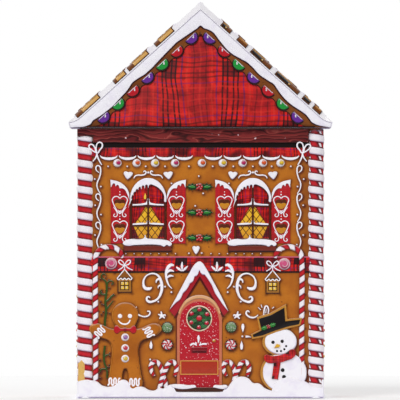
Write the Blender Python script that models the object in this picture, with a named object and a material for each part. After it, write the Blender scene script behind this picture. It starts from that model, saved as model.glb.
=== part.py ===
"""A shut biscuit tin in the shape of a gingerbread house.

One embossed wall sheet stands on a recessed base panel. A gabled lid sits on it: a roof sheet with
bevelled verges and flared eaves, and a gable panel let into each end. Everything pressed out of a
sheet, such as the windows, the door and the figures, is one solid with that sheet.

Sizes are in millimetres and become metres where a shape is made. The front faces -Y.
"""

import math

import bmesh
import bpy
from mathutils import Matrix

MM = 0.001

# The tin as a whole.
LID_HALF_DEPTH = 39.0
EAVES_HALF_WIDTH = 79.8
WALL_HALF_WIDTH = 72.6
WALL_HALF_DEPTH = 33.0
WALL_TOP = 162.9
LID_BOTTOM = 163.2
APEX = 239.2
JOINT_GAP = 0.3

# The roof sheet: its slope, and the bevelled verge that runs down each end of it.
SLOPE = math.radians(42.0)
VERGE_DEPTH = 3.8
VERGE_DROP = 4.0
RIDGE_RADIUS = 2.6
RIDGE_TOP = 240.0
POCKET_DEPTH = 3.4
POCKET_RIM = 0.4
GABLE_RECESS = 1.7

# The wall sheet's corner pillars and its bands, which run round all four walls.
PILLAR_RADIUS = 5.0
PILLAR_X = 69.6
PILLAR_Y = 30.4
CORNER_ROUND = 3.0
BEAM = (154.3, 162.4)
FRILL = (145.0, 151.0)
STOREY_BAND = (76.6, 85.2)

# The window, drawn round its own centre line. The same one is on every wall.
WINDOW_FOOT, WINDOW_SPRING = 95.2, 118.8
WINDOW_HALF_WIDTH = 10.8
FRAME_BAR = 1.4
TRANSOMS = (116.4, 104.4)
SHUTTER_WIDTH = 12.0
SHUTTER_FOOT, SHUTTER_LOW, SHUTTER_HIGH = 93.4, 120.5, 131.4
SILL = (89.0, 92.6)
SILL_HALF_WIDTH = 14.5
WINDOW_AT = 31.6

# The roof's relief: courses of biscuit tiles, by how far down the slope each starts.
TILE_COURSES = (19.0, 38.5, 58.0, 77.5)
TILE_LENGTH, TILE_WIDTH = 16.0, 16.2
TILE_COLUMNS, TILE_PITCH = 4, 17.3

# The gable panels' relief: icing down the verges, and gumdrops set along it.
FASCIA_WIDTH = 6.8
FASCIA_WAVE, FASCIA_WAVE_PITCH, FASCIA_WAVE_CREST = 0.9, 28.5, 38.0
GUMDROP_DEPTH = 10.5
GUMDROP_FIRST, GUMDROP_PITCH, GUMDROPS = 16.5, 11.8, 7

# The base panel lies in a recess inside the rim that the tin stands on.
BASE_RIM_WIDTH = 1.6
BASE_RECESS = 1.9
BASE_PANEL = (0.8, 1.5)

# Snow mounds along the foot of each wall: (middle, half width, height).
FRONT_BANK = [
    (-70.0, 8.6, 11.2), (-46.7, 6.2, 11.2), (-36.6, 6.6, 7.0), (-56.4, 7.0, 7.6), (-18.6, 7.6, 7.6),
    (25.6, 8.4, 13.0), (34.6, 6.4, 9.2), (57.2, 11.2, 10.9), (70.0, 8.0, 7.4),
]  # fmt: skip
REAR_BANK = [
    (-68.0, 9.0, 8.4), (-50.0, 10.0, 12.4), (-30.0, 9.0, 8.0), (-8.0, 12.0, 6.8), (16.0, 11.0, 9.4),
    (38.0, 10.0, 12.8), (56.0, 9.0, 9.0), (70.0, 8.0, 7.4),
]  # fmt: skip
SIDE_BANK = [(-26.0, 9.0, 9.6), (-9.0, 10.0, 12.0), (8.0, 8.0, 7.8), (26.0, 11.0, 11.0)]

ROUND_STEPS = 8
SINK = 1.4
SINK_STEP = 0.03

FRONT, RIGHT, REAR, LEFT = range(4)
WALL_REACH = (WALL_HALF_DEPTH, WALL_HALF_WIDTH, WALL_HALF_DEPTH, WALL_HALF_WIDTH)


# ---------------------------------------------------------------- scene


def clear_scene():
    for obj in list(bpy.data.objects):
        bpy.data.objects.remove(obj, do_unlink=True)


def new_collection(name):
    collection = bpy.data.collections.new(name)
    bpy.context.scene.collection.children.link(collection)
    return collection


def painted(obj, colour, roughness=0.35, metallic=0.0):
    """Gives the object its own material, the varnished print on its sheet."""
    material = bpy.data.materials.new(obj.name)
    material.use_nodes = True
    shader = material.node_tree.nodes["Principled BSDF"]
    shader.inputs["Base Color"].default_value = (*colour, 1.0)
    shader.inputs["Roughness"].default_value = roughness
    shader.inputs["Metallic"].default_value = metallic
    obj.data.materials.clear()
    obj.data.materials.append(material)
    return obj


def mesh_object(name, mesh, collection):
    obj = bpy.data.objects.new(name, mesh)
    collection.objects.link(obj)
    return obj


def as_helper(obj):
    obj.hide_render = True
    obj.display_type = "WIRE"
    return obj


# ---------------------------------------------------------------- outlines, as (x, z) points


def mirrored(half):
    """A closed outline from its right half, listed from one point on the centre line round to another."""
    left = [(-x, z) for x, z in reversed(half) if x > 0]
    return half + left


def moved(outline, x=0.0, z=0.0):
    return [(px + x, pz + z) for px, pz in outline]


def turned(outline, degrees, about):
    cos, sin = math.cos(math.radians(degrees)), math.sin(math.radians(degrees))
    ax, az = about
    return [
        (ax + (x - ax) * cos - (z - az) * sin, az + (x - ax) * sin + (z - az) * cos)
        for x, z in outline
    ]


def arc(x, z, radius_x, radius_z, start, end, steps):
    angles = [math.radians(start + (end - start) * i / steps) for i in range(steps + 1)]
    return [(x + radius_x * math.cos(a), z + radius_z * math.sin(a)) for a in angles]


def oval(x, z, radius_x, radius_z=None, steps=ROUND_STEPS):
    return arc(x, z, radius_x, radius_z or radius_x, 0, 360, steps)[:-1]


def box(left, low, right, high):
    return [(left, low), (right, low), (right, high), (left, high)]


def arch(x, half_width, foot, spring, steps=ROUND_STEPS):
    """An upright panel with a half-round head."""
    return [(x - half_width, foot), (x + half_width, foot)] + arc(
        x, spring, half_width, half_width, 0, 180, steps
    )


def heart(x, z, width, steps=10):
    """The usual heart curve, its middle at (x, z)."""
    size = width / 32
    angles = [2 * math.pi * i / steps for i in range(steps)]
    return [
        (
            x + size * 16 * math.sin(a) ** 3,
            z + size * (13 * math.cos(a) - 5 * math.cos(2 * a) - 2 * math.cos(3 * a) - math.cos(4 * a) + 2),
        )
        for a in reversed(angles)
    ]


def stroke(path, half_width):
    """The outline of a band that follows a path, square at both ends."""
    left, right = [], []
    for i, (x, z) in enumerate(path):
        before, after = path[max(i - 1, 0)], path[min(i + 1, len(path) - 1)]
        dx, dz = after[0] - before[0], after[1] - before[1]
        length = math.hypot(dx, dz)
        across = (-dz / length * half_width, dx / length * half_width)
        left.append((x + across[0], z + across[1]))
        right.append((x - across[0], z - across[1]))
    return left + right[::-1]


def shutter(x, side):
    """A shutter whose head sweeps up from the window to its outer edge."""
    outer = SHUTTER_WIDTH * side
    sweep = [
        (outer * t, SHUTTER_LOW + (SHUTTER_HIGH - SHUTTER_LOW) * math.sin(t * math.pi / 2))
        for t in (0.0, 0.2, 0.45, 0.7, 1.0)
    ]
    return moved([(outer, SHUTTER_FOOT), (0.0, SHUTTER_FOOT)] + sweep, x=x)


def snow_height(x, mounds, lowest):
    """Height of a row of rounded snow mounds at x. A mound is (middle, half width, height)."""
    heights = [
        top * math.sqrt(max(0.0, 1 - ((x - middle) / half) ** 2))
        for middle, half, top in mounds
    ]
    return max([lowest, *heights])


def snow_bank(mounds, half_width, lowest=4.2, step=3.6):
    count = round(2 * half_width / step)
    xs = [half_width - 2 * half_width * i / count for i in range(count + 1)]
    top = [(x, snow_height(x, mounds, lowest)) for x in xs]
    return [(-half_width, 0.0), (half_width, 0.0)] + top


# ---------------------------------------------------------------- relief pressed out of a wall


def wall_matrix(wall):
    """From a wall's own axes (x along it, y up it, z out of it) to the tin's axes, in metres."""
    turn = Matrix.Rotation(wall * math.pi / 2, 4, "Z")
    out = Matrix.Translation((0, -WALL_REACH[wall] * MM, 0))
    upright = Matrix.Rotation(math.pi / 2, 4, "X")
    return turn @ out @ upright


class Relief:
    """Collects the shapes pressed out of one sheet, which are then joined to it."""

    def __init__(self, name):
        self.name = name
        self.collection = new_collection(name)

    def press(self, matrix, outlines, front, rim=0.0, back=None):
        """A shape that stands `front` in front of its sheet. Further outlines are holes in it.

        Each shape's back is at a depth of its own inside the sheet, so no two of them share a face.
        """
        if isinstance(outlines[0][0], (int, float)):
            outlines = [outlines]
        number = len(self.collection.objects)
        if back is None:
            back = -SINK - SINK_STEP * number
        curve = bpy.data.curves.new(f"{self.name}_{number}", "CURVE")
        curve.dimensions = "2D"
        curve.fill_mode = "BOTH"
        curve.extrude = ((front - back) / 2 - rim) * MM
        curve.bevel_depth = rim * MM
        curve.offset = -rim * MM
        curve.bevel_resolution = 0
        for outline in outlines:
            spline = curve.splines.new("POLY")
            spline.points.add(len(outline) - 1)
            for point, (x, z) in zip(spline.points, outline):
                point.co = (x * MM, z * MM, 0, 1)
            spline.use_cyclic_u = True
        drawn = bpy.data.objects.new(curve.name, curve)
        self.collection.objects.link(drawn)
        middle = Matrix.Translation((0, 0, (front + back) / 2 * MM))
        return self.as_mesh(drawn, matrix @ middle)

    def as_mesh(self, drawn, matrix):
        graph = bpy.context.evaluated_depsgraph_get()
        mesh = bpy.data.meshes.new_from_object(drawn.evaluated_get(graph))
        weld(mesh)
        curve = drawn.data
        bpy.data.objects.remove(drawn)
        obj = mesh_object(curve.name, mesh, self.collection)
        bpy.data.curves.remove(curve)
        obj.matrix_world = matrix
        return as_helper(obj)

    def join_to(self, sheet):
        union = sheet.modifiers.new(self.name, "BOOLEAN")
        union.operation = "UNION"
        union.operand_type = "COLLECTION"
        union.collection = self.collection


def weld(mesh):
    shape = bmesh.new()
    shape.from_mesh(mesh)
    bmesh.ops.remove_doubles(shape, verts=shape.verts, dist=0.001 * MM)
    bmesh.ops.recalc_face_normals(shape, faces=shape.faces)
    shape.to_mesh(mesh)
    shape.free()


# ---------------------------------------------------------------- what is pressed out of the walls


def press_window(relief, wall, x, heart_heights=()):
    """An arched window with snow on its arch and sill, between two shutters.

    Each shutter has a heart cut out of it at each of the given heights.
    """
    place = wall_matrix(wall)
    foot, spring, half = WINDOW_FOOT, WINDOW_SPRING, WINDOW_HALF_WIDTH
    relief.press(place, arch(x, half - 0.2, foot + 0.2, spring), 0.5)
    rim = [arch(x, half, foot, spring), arch(x, half - FRAME_BAR, foot + FRAME_BAR, spring)]
    relief.press(place, rim, 1.5)
    relief.press(place, box(x - 0.65, foot + 0.5, x + 0.65, spring + half - 0.6), 1.6)
    for i, height in enumerate(TRANSOMS):
        bar = box(x - half + 0.5, height - 0.6, x + half - 0.5, height + 0.6)
        relief.press(place, bar, 1.3 + 0.05 * i)
    for side in (-1, 1):
        panel = shutter(x + side * (half + 0.3), side)
        middle = x + side * (half + 0.3 + SHUTTER_WIDTH / 2)
        hearts = [heart(middle, z, 6.4) for z in heart_heights]
        relief.press(place, [panel, *hearts], 0.95)
    relief.press(place, box(x - SILL_HALF_WIDTH, SILL[0], x + SILL_HALF_WIDTH, SILL[1]), 1.7)
    drift = arc(x, SILL[1] - 0.4, SILL_HALF_WIDTH - 0.3, 4.4, 0, 180, 8)
    relief.press(place, drift, 1.9)
    outer = arc(x, spring, half + 1.4, half + 3.2, 12, 168, 8)
    inner = arc(x, spring, half - 0.9, half - 0.9, 168, 12, 8)
    relief.press(place, outer + inner, 2.1)


def press_bands(relief, wall, half_width):
    """The beam under the eaves, the frill below it and the band between the storeys."""
    place = wall_matrix(wall)
    relief.press(place, box(-half_width, BEAM[0], half_width, BEAM[1]), 1.9, rim=0.9)
    relief.press(place, box(-half_width, FRILL[0], half_width, FRILL[1]), 0.6)
    relief.press(place, box(-half_width, STOREY_BAND[0], half_width, STOREY_BAND[1]), 0.7)


def press_sweets(relief, wall, places, radius=2.6, front=1.6):
    for x, z in places:
        relief.press(wall_matrix(wall), oval(x, z, radius, steps=7), front, rim=0.9)


def press_candy_cane(relief, wall, x, side, foot=6.0):
    """A tall cane against a pillar. Its crook bends to the given side."""
    top, radius_x, radius_z = 84.6, 8.1, 6.6
    crook = arc(x + side * radius_x, top, -side * radius_x, radius_z, 0, 180, 7)
    relief.press(wall_matrix(wall), stroke([(x, foot)] + crook, 1.4), 1.4)


def press_crossed_canes(relief, wall, x, foot=5.0):
    """Two small canes that cross, crooks outwards."""
    for side in (-1, 1):
        crook = arc(x + side * 4.4, 19.0, side * 3.3, 3.4, -25, 180, 5)
        path = [(x - side * 3.2, foot), (x - side * 0.4, 13.5)] + crook[::-1]
        relief.press(wall_matrix(wall), stroke(path, 1.25), 1.3 + 0.15 * side)


def press_lantern(relief, wall, x, z):
    """A small biscuit house that hangs from a bow."""
    place = wall_matrix(wall)
    relief.press(place, box(x - 4.2, z - 4.0, x + 4.2, z + 4.2), 1.2, rim=0.3)
    relief.press(place, [(x - 5.0, z + 3.6), (x + 5.0, z + 3.6), (x, z + 11.0)], 1.4)


def press_bank(relief, wall, mounds, half_width, front=3.0):
    relief.press(wall_matrix(wall), snow_bank(mounds, half_width), front)


def press_gingerbread_man(relief, wall, x):
    half = [
        (0.0, 57.8), (4.6, 56.6), (7.9, 52.0), (7.9, 47.4), (5.2, 43.2), (6.6, 42.0),
        (11.6, 43.2), (16.8, 45.3), (21.0, 44.9), (22.3, 41.8), (20.0, 38.4), (14.0, 35.4),
        (8.9, 32.6), (8.2, 27.6), (8.9, 20.0), (9.9, 10.8), (2.5, 10.6), (2.3, 15.2), (0.0, 17.8),
    ]  # fmt: skip
    relief.press(wall_matrix(wall), moved(mirrored(half), x=x), 1.9, rim=0.5)
    for z in (36.7, 30.2, 23.7):
        relief.press(wall_matrix(wall), oval(x, z, 2.5, steps=7), 2.6)


def press_snowman(relief, wall, x):
    place = wall_matrix(wall)
    relief.press(place, oval(x + 3.0, 16.2, 13.4, 12.8, 14), 1.5, rim=0.5)
    relief.press(place, oval(x, 33.4, 10.4, 8.6, 14), 1.7, rim=0.5)
    hat = [(-16.2, 3.4), (-11.4, 7.2), (-13.4, 14.6), (3.2, 20.9), (4.2, 13.4), (11.8, 14.2), (12.4, 11.0)]
    relief.press(place, moved(hat, x=x, z=32.6), 2.0)


def press_door(relief):
    """The arched front door under its small snowy gable."""
    place = wall_matrix(FRONT)
    relief.press(place, arch(-0.5, 13.5, 5.0, 48.4), 0.9)
    relief.press(place, arch(-0.5, 12.4, 5.2, 46.6), 1.2)
    relief.press(place, oval(-0.8, 48.1, 7.6, steps=12), 1.9, rim=0.5)
    relief.press(place, box(-12.2, 14.2, 10.6, 22.5), 1.35)
    boards = [(-18.6, 52.6), (0.0, 81.8), (17.2, 52.8), (14.6, 50.2), (-0.3, 72.5), (-16.2, 49.0)]
    relief.press(place, boards, 1.8)
    snow = [(-18.9, 53.4), (-2.8, 81.3), (0.0, 82.4), (3.2, 80.8), (17.1, 53.8), (7.8, 66.9), (0.4, 76.0), (-7.9, 65.5)]
    relief.press(place, snow, 2.4, rim=0.3)
    step = [(-16.2, 6.4), (14.8, 6.4), (13.4, 3.8), (-14.8, 3.8)]
    relief.press(place, step, 3.1)


def build_wall_relief():
    relief = Relief("wall_relief")
    for wall, half_width in ((FRONT, 67.0), (RIGHT, 27.5), (REAR, 67.0), (LEFT, 27.5)):
        press_bands(relief, wall, half_width)
    for wall, heart_heights in ((FRONT, (116.8, 101.6)), (REAR, ())):
        for side in (-1, 1):
            press_window(relief, wall, side * WINDOW_AT, heart_heights)
            press_candy_cane(relief, wall, side * 62.3, -side)
            press_lantern(relief, wall, side * 45.4, 67.4)
    for wall in (RIGHT, LEFT):
        press_window(relief, wall, 0.0)
        press_sweets(relief, wall, [(x, 141.9) for x in (-18.0, -6.0, 6.0, 18.0)])
        press_crossed_canes(relief, wall, 0.0)
        press_bank(relief, wall, SIDE_BANK, 28.5, front=2.1)
    sweets = (-50.2, -38.6, -27.5, -15.4, 0.8, 13.4, 25.4, 37.7, 48.3)
    press_sweets(relief, FRONT, [(x, 141.9) for x in sweets])
    press_sweets(relief, FRONT, [(x, z) for x in (-20.1, 18.5) for z in (42.6, 32.2)], radius=3.4)
    press_gingerbread_man(relief, FRONT, -45.4)
    press_snowman(relief, FRONT, 47.8)
    press_door(relief)
    for x in (-22.2, 21.5):
        press_crossed_canes(relief, FRONT, x)
    press_gingerbread_man(relief, REAR, 22.0)
    press_bank(relief, FRONT, FRONT_BANK, 69.5)
    press_bank(relief, REAR, REAR_BANK, 69.5)
    return relief


# ---------------------------------------------------------------- the body of the tin


def cuboid(name, collection, low, high):
    mesh = bpy.data.meshes.new(name)
    shape = bmesh.new()
    bmesh.ops.create_cube(shape, size=1.0)
    size = [(h - l) * MM for l, h in zip(low, high)]
    middle = [(h + l) / 2 * MM for l, h in zip(low, high)]
    bmesh.ops.scale(shape, vec=size, verts=shape.verts)
    bmesh.ops.translate(shape, vec=middle, verts=shape.verts)
    shape.to_mesh(mesh)
    shape.free()
    return mesh_object(name, mesh, collection)


def round_upright_edges(obj, radius, segments=4):
    shape = bmesh.new()
    shape.from_mesh(obj.data)
    upright = [e for e in shape.edges if abs(e.verts[0].co.z - e.verts[1].co.z) > 1e-6]
    bmesh.ops.bevel(
        shape, geom=upright, offset=radius * MM, segments=segments, profile=0.5, affect="EDGES"
    )
    shape.to_mesh(obj.data)
    shape.free()


def cylinder(name, collection, x, y, low, high, radius, steps=14):
    mesh = bpy.data.meshes.new(name)
    shape = bmesh.new()
    bmesh.ops.create_cone(
        shape,
        cap_ends=True,
        segments=steps,
        radius1=radius * MM,
        radius2=radius * MM,
        depth=(high - low) * MM,
        matrix=Matrix.Translation((x * MM, y * MM, (low + high) / 2 * MM)),
    )
    shape.to_mesh(mesh)
    shape.free()
    return mesh_object(name, mesh, collection)


def cut(obj, cutter):
    difference = obj.modifiers.new(cutter.name, "BOOLEAN")
    difference.operation = "DIFFERENCE"
    difference.object = cutter


def build_body(parts, cutters):
    low = (-WALL_HALF_WIDTH, -WALL_HALF_DEPTH, 0.0)
    high = (WALL_HALF_WIDTH, WALL_HALF_DEPTH, WALL_TOP)
    body = cuboid("tin_body", parts, low, high)
    round_upright_edges(body, CORNER_ROUND)

    relief = build_wall_relief()
    for x in (-PILLAR_X, PILLAR_X):
        for y in (-PILLAR_Y, PILLAR_Y):
            pillar = cylinder("pillar", relief.collection, x, y, 0.4, WALL_TOP - 0.5, PILLAR_RADIUS)
            drift = cylinder("drift", relief.collection, x, y, 0.2, 7.6, PILLAR_RADIUS + 0.3)
            as_helper(pillar)
            as_helper(drift)
    inner_x, inner_y = WALL_HALF_WIDTH - BASE_RIM_WIDTH, WALL_HALF_DEPTH - BASE_RIM_WIDTH
    recess = cuboid("base_recess", cutters, (-inner_x, -inner_y, -1.0), (inner_x, inner_y, BASE_RECESS))
    painted(body, (0.47, 0.15, 0.012))
    return body, relief, [as_helper(recess)]


def build_base(parts):
    x = WALL_HALF_WIDTH - BASE_RIM_WIDTH - JOINT_GAP
    y = WALL_HALF_DEPTH - BASE_RIM_WIDTH - JOINT_GAP
    base = cuboid("base_panel", parts, (-x, -y, BASE_PANEL[0]), (x, y, BASE_PANEL[1]))
    return painted(base, (0.62, 0.61, 0.59), roughness=0.3, metallic=1.0)


# ---------------------------------------------------------------- the lid


def slope_point(along, apex, depth=0.0):
    """A point on the right slope, `along` it from the apex and `depth` inside it."""
    x = along * math.cos(SLOPE) - depth * math.sin(SLOPE)
    z = apex - along * math.sin(SLOPE) - depth * math.cos(SLOPE)
    return x, z


def roof_half(verge):
    """The right half of the roof's section, from the apex to the eaves' lower edge."""
    if verge:
        apex, last, flare = APEX - VERGE_DROP, 96.2, [(74.4, 168.4), (77.0, 167.2)]
    else:
        apex, last, flare = APEX, 98.0, [(76.0, 170.4), (78.2, 168.0)]
    tip = [(EAVES_HALF_WIDTH, 166.5), (EAVES_HALF_WIDTH - 0.8, LID_BOTTOM)]
    return [(0.0, apex), slope_point(last, apex), *flare, *tip]


def inset(outline, distance):
    """The outline drawn in by a distance. It runs clockwise."""
    lines = []
    for (x0, z0), (x1, z1) in zip(outline, outline[1:] + outline[:1]):
        length = math.hypot(x1 - x0, z1 - z0)
        nx, nz = (z1 - z0) / length, -(x1 - x0) / length
        lines.append((nx, nz, nx * x0 + nz * z0 + distance))
    corners = []
    for (a, b, c), (d, e, f) in zip(lines[-1:] + lines[:-1], lines):
        cross = a * e - b * d
        corners.append(((c * e - b * f) / cross, (a * f - c * d) / cross))
    return corners


def build_roof_sheet(parts):
    """The roof as a loft: the gable's outline at each end, the larger roof section between."""
    verge, main = mirrored(roof_half(True)), mirrored(roof_half(False))
    shoulder = LID_HALF_DEPTH - VERGE_DEPTH
    sections = [(-LID_HALF_DEPTH, verge), (-shoulder, main), (shoulder, main), (LID_HALF_DEPTH, verge)]
    shape = bmesh.new()
    rings = [[shape.verts.new((x * MM, y * MM, z * MM)) for x, z in outline] for y, outline in sections]
    for ring, following in zip(rings, rings[1:]):
        for i, corner in enumerate(ring):
            j = (i + 1) % len(ring)
            shape.faces.new((corner, ring[j], following[j], following[i]))
    shape.faces.new(rings[0])
    shape.faces.new(rings[-1])
    bmesh.ops.recalc_face_normals(shape, faces=shape.faces)
    mesh = bpy.data.meshes.new("roof_sheet")
    shape.to_mesh(mesh)
    shape.free()
    roof = mesh_object("roof_sheet", mesh, parts)

    relief = Relief("roof_relief")
    press_tiles(relief)
    press_ridge(relief)
    pocket = Relief("gable_pockets")
    pockets = []
    for side in (FRONT, REAR):
        outline = inset(mirrored(roof_half(True)), POCKET_RIM)
        cutter = pocket.press(gable_matrix(side), outline, POCKET_DEPTH, back=-POCKET_DEPTH)
        pockets.append(cutter)
    painted(roof, (0.83, 0.80, 0.86))
    return roof, relief, pockets


def gable_matrix(side):
    """A gable's own axes: x across it, y up it, z out of the lid, from the lid's end plane."""
    turn = Matrix.Rotation(side * math.pi / 2, 4, "Z")
    return turn @ Matrix.Translation((0, -LID_HALF_DEPTH * MM, 0)) @ Matrix.Rotation(math.pi / 2, 4, "X")


def press_tiles(relief):
    """Courses of biscuit tiles on both slopes."""
    for side in (-1, 1):
        for course in TILE_COURSES:
            for column in range(TILE_COLUMNS):
                y = (column - (TILE_COLUMNS - 1) / 2) * TILE_PITCH
                x, z = slope_point(course + TILE_LENGTH / 2, APEX)
                lie = Matrix.Translation((side * x * MM, y * MM, z * MM))
                tilt = Matrix.Rotation(side * SLOPE, 4, "Y")
                tile = box(-TILE_LENGTH / 2, -TILE_WIDTH / 2, TILE_LENGTH / 2, TILE_WIDTH / 2)
                relief.press(lie @ tilt, tile, 0.9)


def press_ridge(relief):
    ridge = cylinder("ridge", relief.collection, 0, 0, -35.0, 35.0, RIDGE_RADIUS, steps=12)
    lie = Matrix.Translation((0, 0, (RIDGE_TOP - RIDGE_RADIUS) * MM))
    ridge.matrix_world = lie @ Matrix.Rotation(math.pi / 2, 4, "X")
    as_helper(ridge)


def fascia_width(along):
    """The icing's width down the verge swells and narrows like settled snow."""
    phase = 2 * math.pi * (along - FASCIA_WAVE_CREST) / FASCIA_WAVE_PITCH
    return FASCIA_WIDTH + FASCIA_WAVE * math.cos(phase)


def fascia_outline():
    """The band of icing down both verges, from the apex to the eaves."""
    apex = APEX - VERGE_DROP
    count = 12
    first, last = 7.6, 101.0
    steps = [first + (last - first) * i / count for i in range(count + 1)]
    wavy = [slope_point(s, apex, fascia_width(s)) for s in steps]
    wavy = [(x, z) for x, z in wavy if z > LID_BOTTOM + 1.4]
    outer = inset(mirrored(roof_half(True)), POCKET_RIM + JOINT_GAP + 0.25)
    right = [(x, z) for x, z in outer if x > 0]
    top = [(0.0, max(z for x, z in outer))]
    foot = [(wavy[-1][0] - 0.8, LID_BOTTOM + POCKET_RIM + JOINT_GAP + 0.25)]
    half = top + right + foot + wavy[::-1] + [(0.0, wavy[0][1] + 0.6)]
    return half + [(-x, z) for x, z in reversed(half) if x > 0]


def build_gable(name, side, parts):
    relief = Relief(f"{name}_relief")
    matrix = gable_matrix(side)
    outline = inset(mirrored(roof_half(True)), POCKET_RIM + JOINT_GAP)
    panel = relief.press(matrix, outline, -GABLE_RECESS, back=JOINT_GAP - POCKET_DEPTH)
    relief.collection.objects.unlink(panel)
    parts.objects.link(panel)
    panel.name = name
    panel.hide_render = False
    panel.display_type = "TEXTURED"

    face = matrix @ Matrix.Translation((0, 0, -GABLE_RECESS * MM))
    relief.press(face, fascia_outline(), 1.4, back=-0.5)
    apex = APEX - VERGE_DROP
    for hand in (-1, 1):
        for i in range(GUMDROPS):
            x, z = slope_point(GUMDROP_FIRST + i * GUMDROP_PITCH, apex, GUMDROP_DEPTH)
            drop = turned(oval(hand * x, z, 3.1, 2.6, 6), hand * -42, (hand * x, z))
            relief.press(face, drop, 1.3, rim=0.7, back=-0.5)
    painted(panel, (0.42, 0.012, 0.012))
    return panel, relief, []


# ---------------------------------------------------------------- the tin


def build():
    """Draws every shape first. The sheets are joined and cut once nothing more is added."""
    clear_scene()
    parts = new_collection("house_tin")
    cutters = new_collection("cutters")
    build_base(parts)
    sheets = [
        build_body(parts, cutters),
        build_roof_sheet(parts),
        build_gable("front_gable", FRONT, parts),
        build_gable("rear_gable", REAR, parts),
    ]
    for sheet, relief, pockets in sheets:
        relief.join_to(sheet)
        for pocket in pockets:
            cut(sheet, pocket)


build()
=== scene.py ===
# %% [markdown]
# # A biscuit tin made as a gingerbread house
#
# The real object is a shut tinplate box with a gabled lid, printed in bright colours and embossed, so
# that its windows, sweets and figures stand a millimetre or two out of the sheet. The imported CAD
# model gives the planes of the walls and the lid's corners, and this script dresses it piece by
# piece, in millimetres.

# %% Load the frame and read its sizes
import math
import random

import bmesh
import bpy
import numpy
from mathutils import Matrix, Vector
from mathutils.kdtree import KDTree


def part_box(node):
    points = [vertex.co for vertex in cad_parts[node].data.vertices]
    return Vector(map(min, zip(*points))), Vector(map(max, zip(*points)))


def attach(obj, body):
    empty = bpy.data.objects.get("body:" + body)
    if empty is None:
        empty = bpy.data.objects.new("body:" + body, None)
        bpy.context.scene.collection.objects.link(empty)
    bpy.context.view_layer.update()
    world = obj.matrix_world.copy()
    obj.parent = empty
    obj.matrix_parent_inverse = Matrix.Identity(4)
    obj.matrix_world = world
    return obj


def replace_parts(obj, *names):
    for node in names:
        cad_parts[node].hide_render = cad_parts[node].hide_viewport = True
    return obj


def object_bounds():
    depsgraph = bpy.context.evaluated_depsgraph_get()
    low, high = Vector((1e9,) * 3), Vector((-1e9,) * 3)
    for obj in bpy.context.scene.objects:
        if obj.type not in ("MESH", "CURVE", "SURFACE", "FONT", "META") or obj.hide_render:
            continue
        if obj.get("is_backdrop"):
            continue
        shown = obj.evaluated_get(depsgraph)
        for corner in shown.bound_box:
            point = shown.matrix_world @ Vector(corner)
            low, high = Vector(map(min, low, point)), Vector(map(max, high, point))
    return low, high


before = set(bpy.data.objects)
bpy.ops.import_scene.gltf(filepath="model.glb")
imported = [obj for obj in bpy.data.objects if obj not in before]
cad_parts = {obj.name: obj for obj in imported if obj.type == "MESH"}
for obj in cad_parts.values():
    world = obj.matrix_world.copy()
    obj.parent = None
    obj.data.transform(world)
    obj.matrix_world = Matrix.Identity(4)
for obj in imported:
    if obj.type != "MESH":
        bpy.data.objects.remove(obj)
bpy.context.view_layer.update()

MM = 0.001
RIM_AND_GAP = 1.9

base_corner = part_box("base_panel")[1] / MM
lid_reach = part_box("roof_sheet")[1].y / MM
lid_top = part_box("roof_sheet")[1].z / MM
wall_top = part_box("tin_body")[1].z / MM
half_width = base_corner.x + RIM_AND_GAP
half_depth = base_corner.y + RIM_AND_GAP
print(f"walls at x {half_width:.1f} and y {half_depth:.1f} mm, {wall_top:.1f} mm high")

# %% [markdown]
# ## Flat drawings that stand up
#
# A tin is printed and pressed while its sheet is flat, and each wall is drawn that way here: x runs
# along the wall, y up it and z out of it. A matrix then stands the drawing up on its own side, so one
# drawing can serve several walls and nothing is modelled at an angle.

# %% The planes that drawings stand on
FRONT, RIGHT, REAR, LEFT = range(4)
WALL_NAMES = ("front", "right", "rear", "left")


def shift(x=0.0, y=0.0, z=0.0):
    """A move in millimetres."""
    return Matrix.Translation((x * MM, y * MM, z * MM))


def upright(quarter_turns, reach):
    """An upright plane that faces outwards, `reach` from the tin's middle."""
    turn = Matrix.Rotation(quarter_turns * math.pi / 2, 4, "Z")
    return turn @ shift(y=-reach) @ Matrix.Rotation(math.pi / 2, 4, "X")


walls = [upright(i, (half_depth, half_width)[i % 2]) for i in range(4)]
gables = {side: upright(side, lid_reach) for side in (FRONT, REAR)}
print(f"{len(walls)} walls and {len(gables)} gables")

# %% [markdown]
# ## Drawing with curves
#
# Most of the relief is a flat shape with a rounded rim, such as a shutter, or a line of piped icing.
# A Bezier curve gives both: filled and extruded it is a plate, and with a round bevel it is a
# squeezed line. Knots are smooth unless they are marked as corners.

# %% Curves
CORNER = "corner"


def select_only(*objects):
    bpy.ops.object.select_all(action="DESELECT")
    for obj in objects:
        obj.select_set(True)
        bpy.context.view_layer.objects.active = objects[0]


def mend(obj, sharp_angle=40):
    """Merges doubles, turns every face outwards and shades smooth up to an angle."""
    select_only(obj)
    bpy.ops.object.mode_set(mode="EDIT")
    bpy.ops.mesh.select_all(action="SELECT")
    bpy.ops.mesh.remove_doubles(threshold=0.004 * MM)
    bpy.ops.mesh.normals_make_consistent(inside=False)
    bpy.ops.object.mode_set(mode="OBJECT")
    bpy.ops.object.shade_smooth_by_angle(angle=math.radians(sharp_angle))
    return obj


def draw_curve(strokes, closed):
    """A Bezier spline for each stroke, a list of (x, y) knots in millimetres."""
    select_only()
    bpy.ops.curve.primitive_bezier_curve_add()
    curve = bpy.context.object
    curve.data.splines.clear()
    for stroke in strokes:
        spline = curve.data.splines.new("BEZIER")
        spline.bezier_points.add(len(stroke) - 1)
        spline.use_cyclic_u = closed
        for knot, (x, y, *kind) in zip(spline.bezier_points, stroke):
            knot.co = (x * MM, y * MM, 0.0)
            knot.handle_left_type = "VECTOR" if CORNER in kind else "AUTO"
            knot.handle_right_type = knot.handle_left_type
    return curve


def to_mesh(curve, lift):
    curve.location.z = lift * MM
    bpy.ops.object.convert(target="MESH")
    bpy.ops.object.transform_apply()
    return mend(bpy.context.object)


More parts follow.
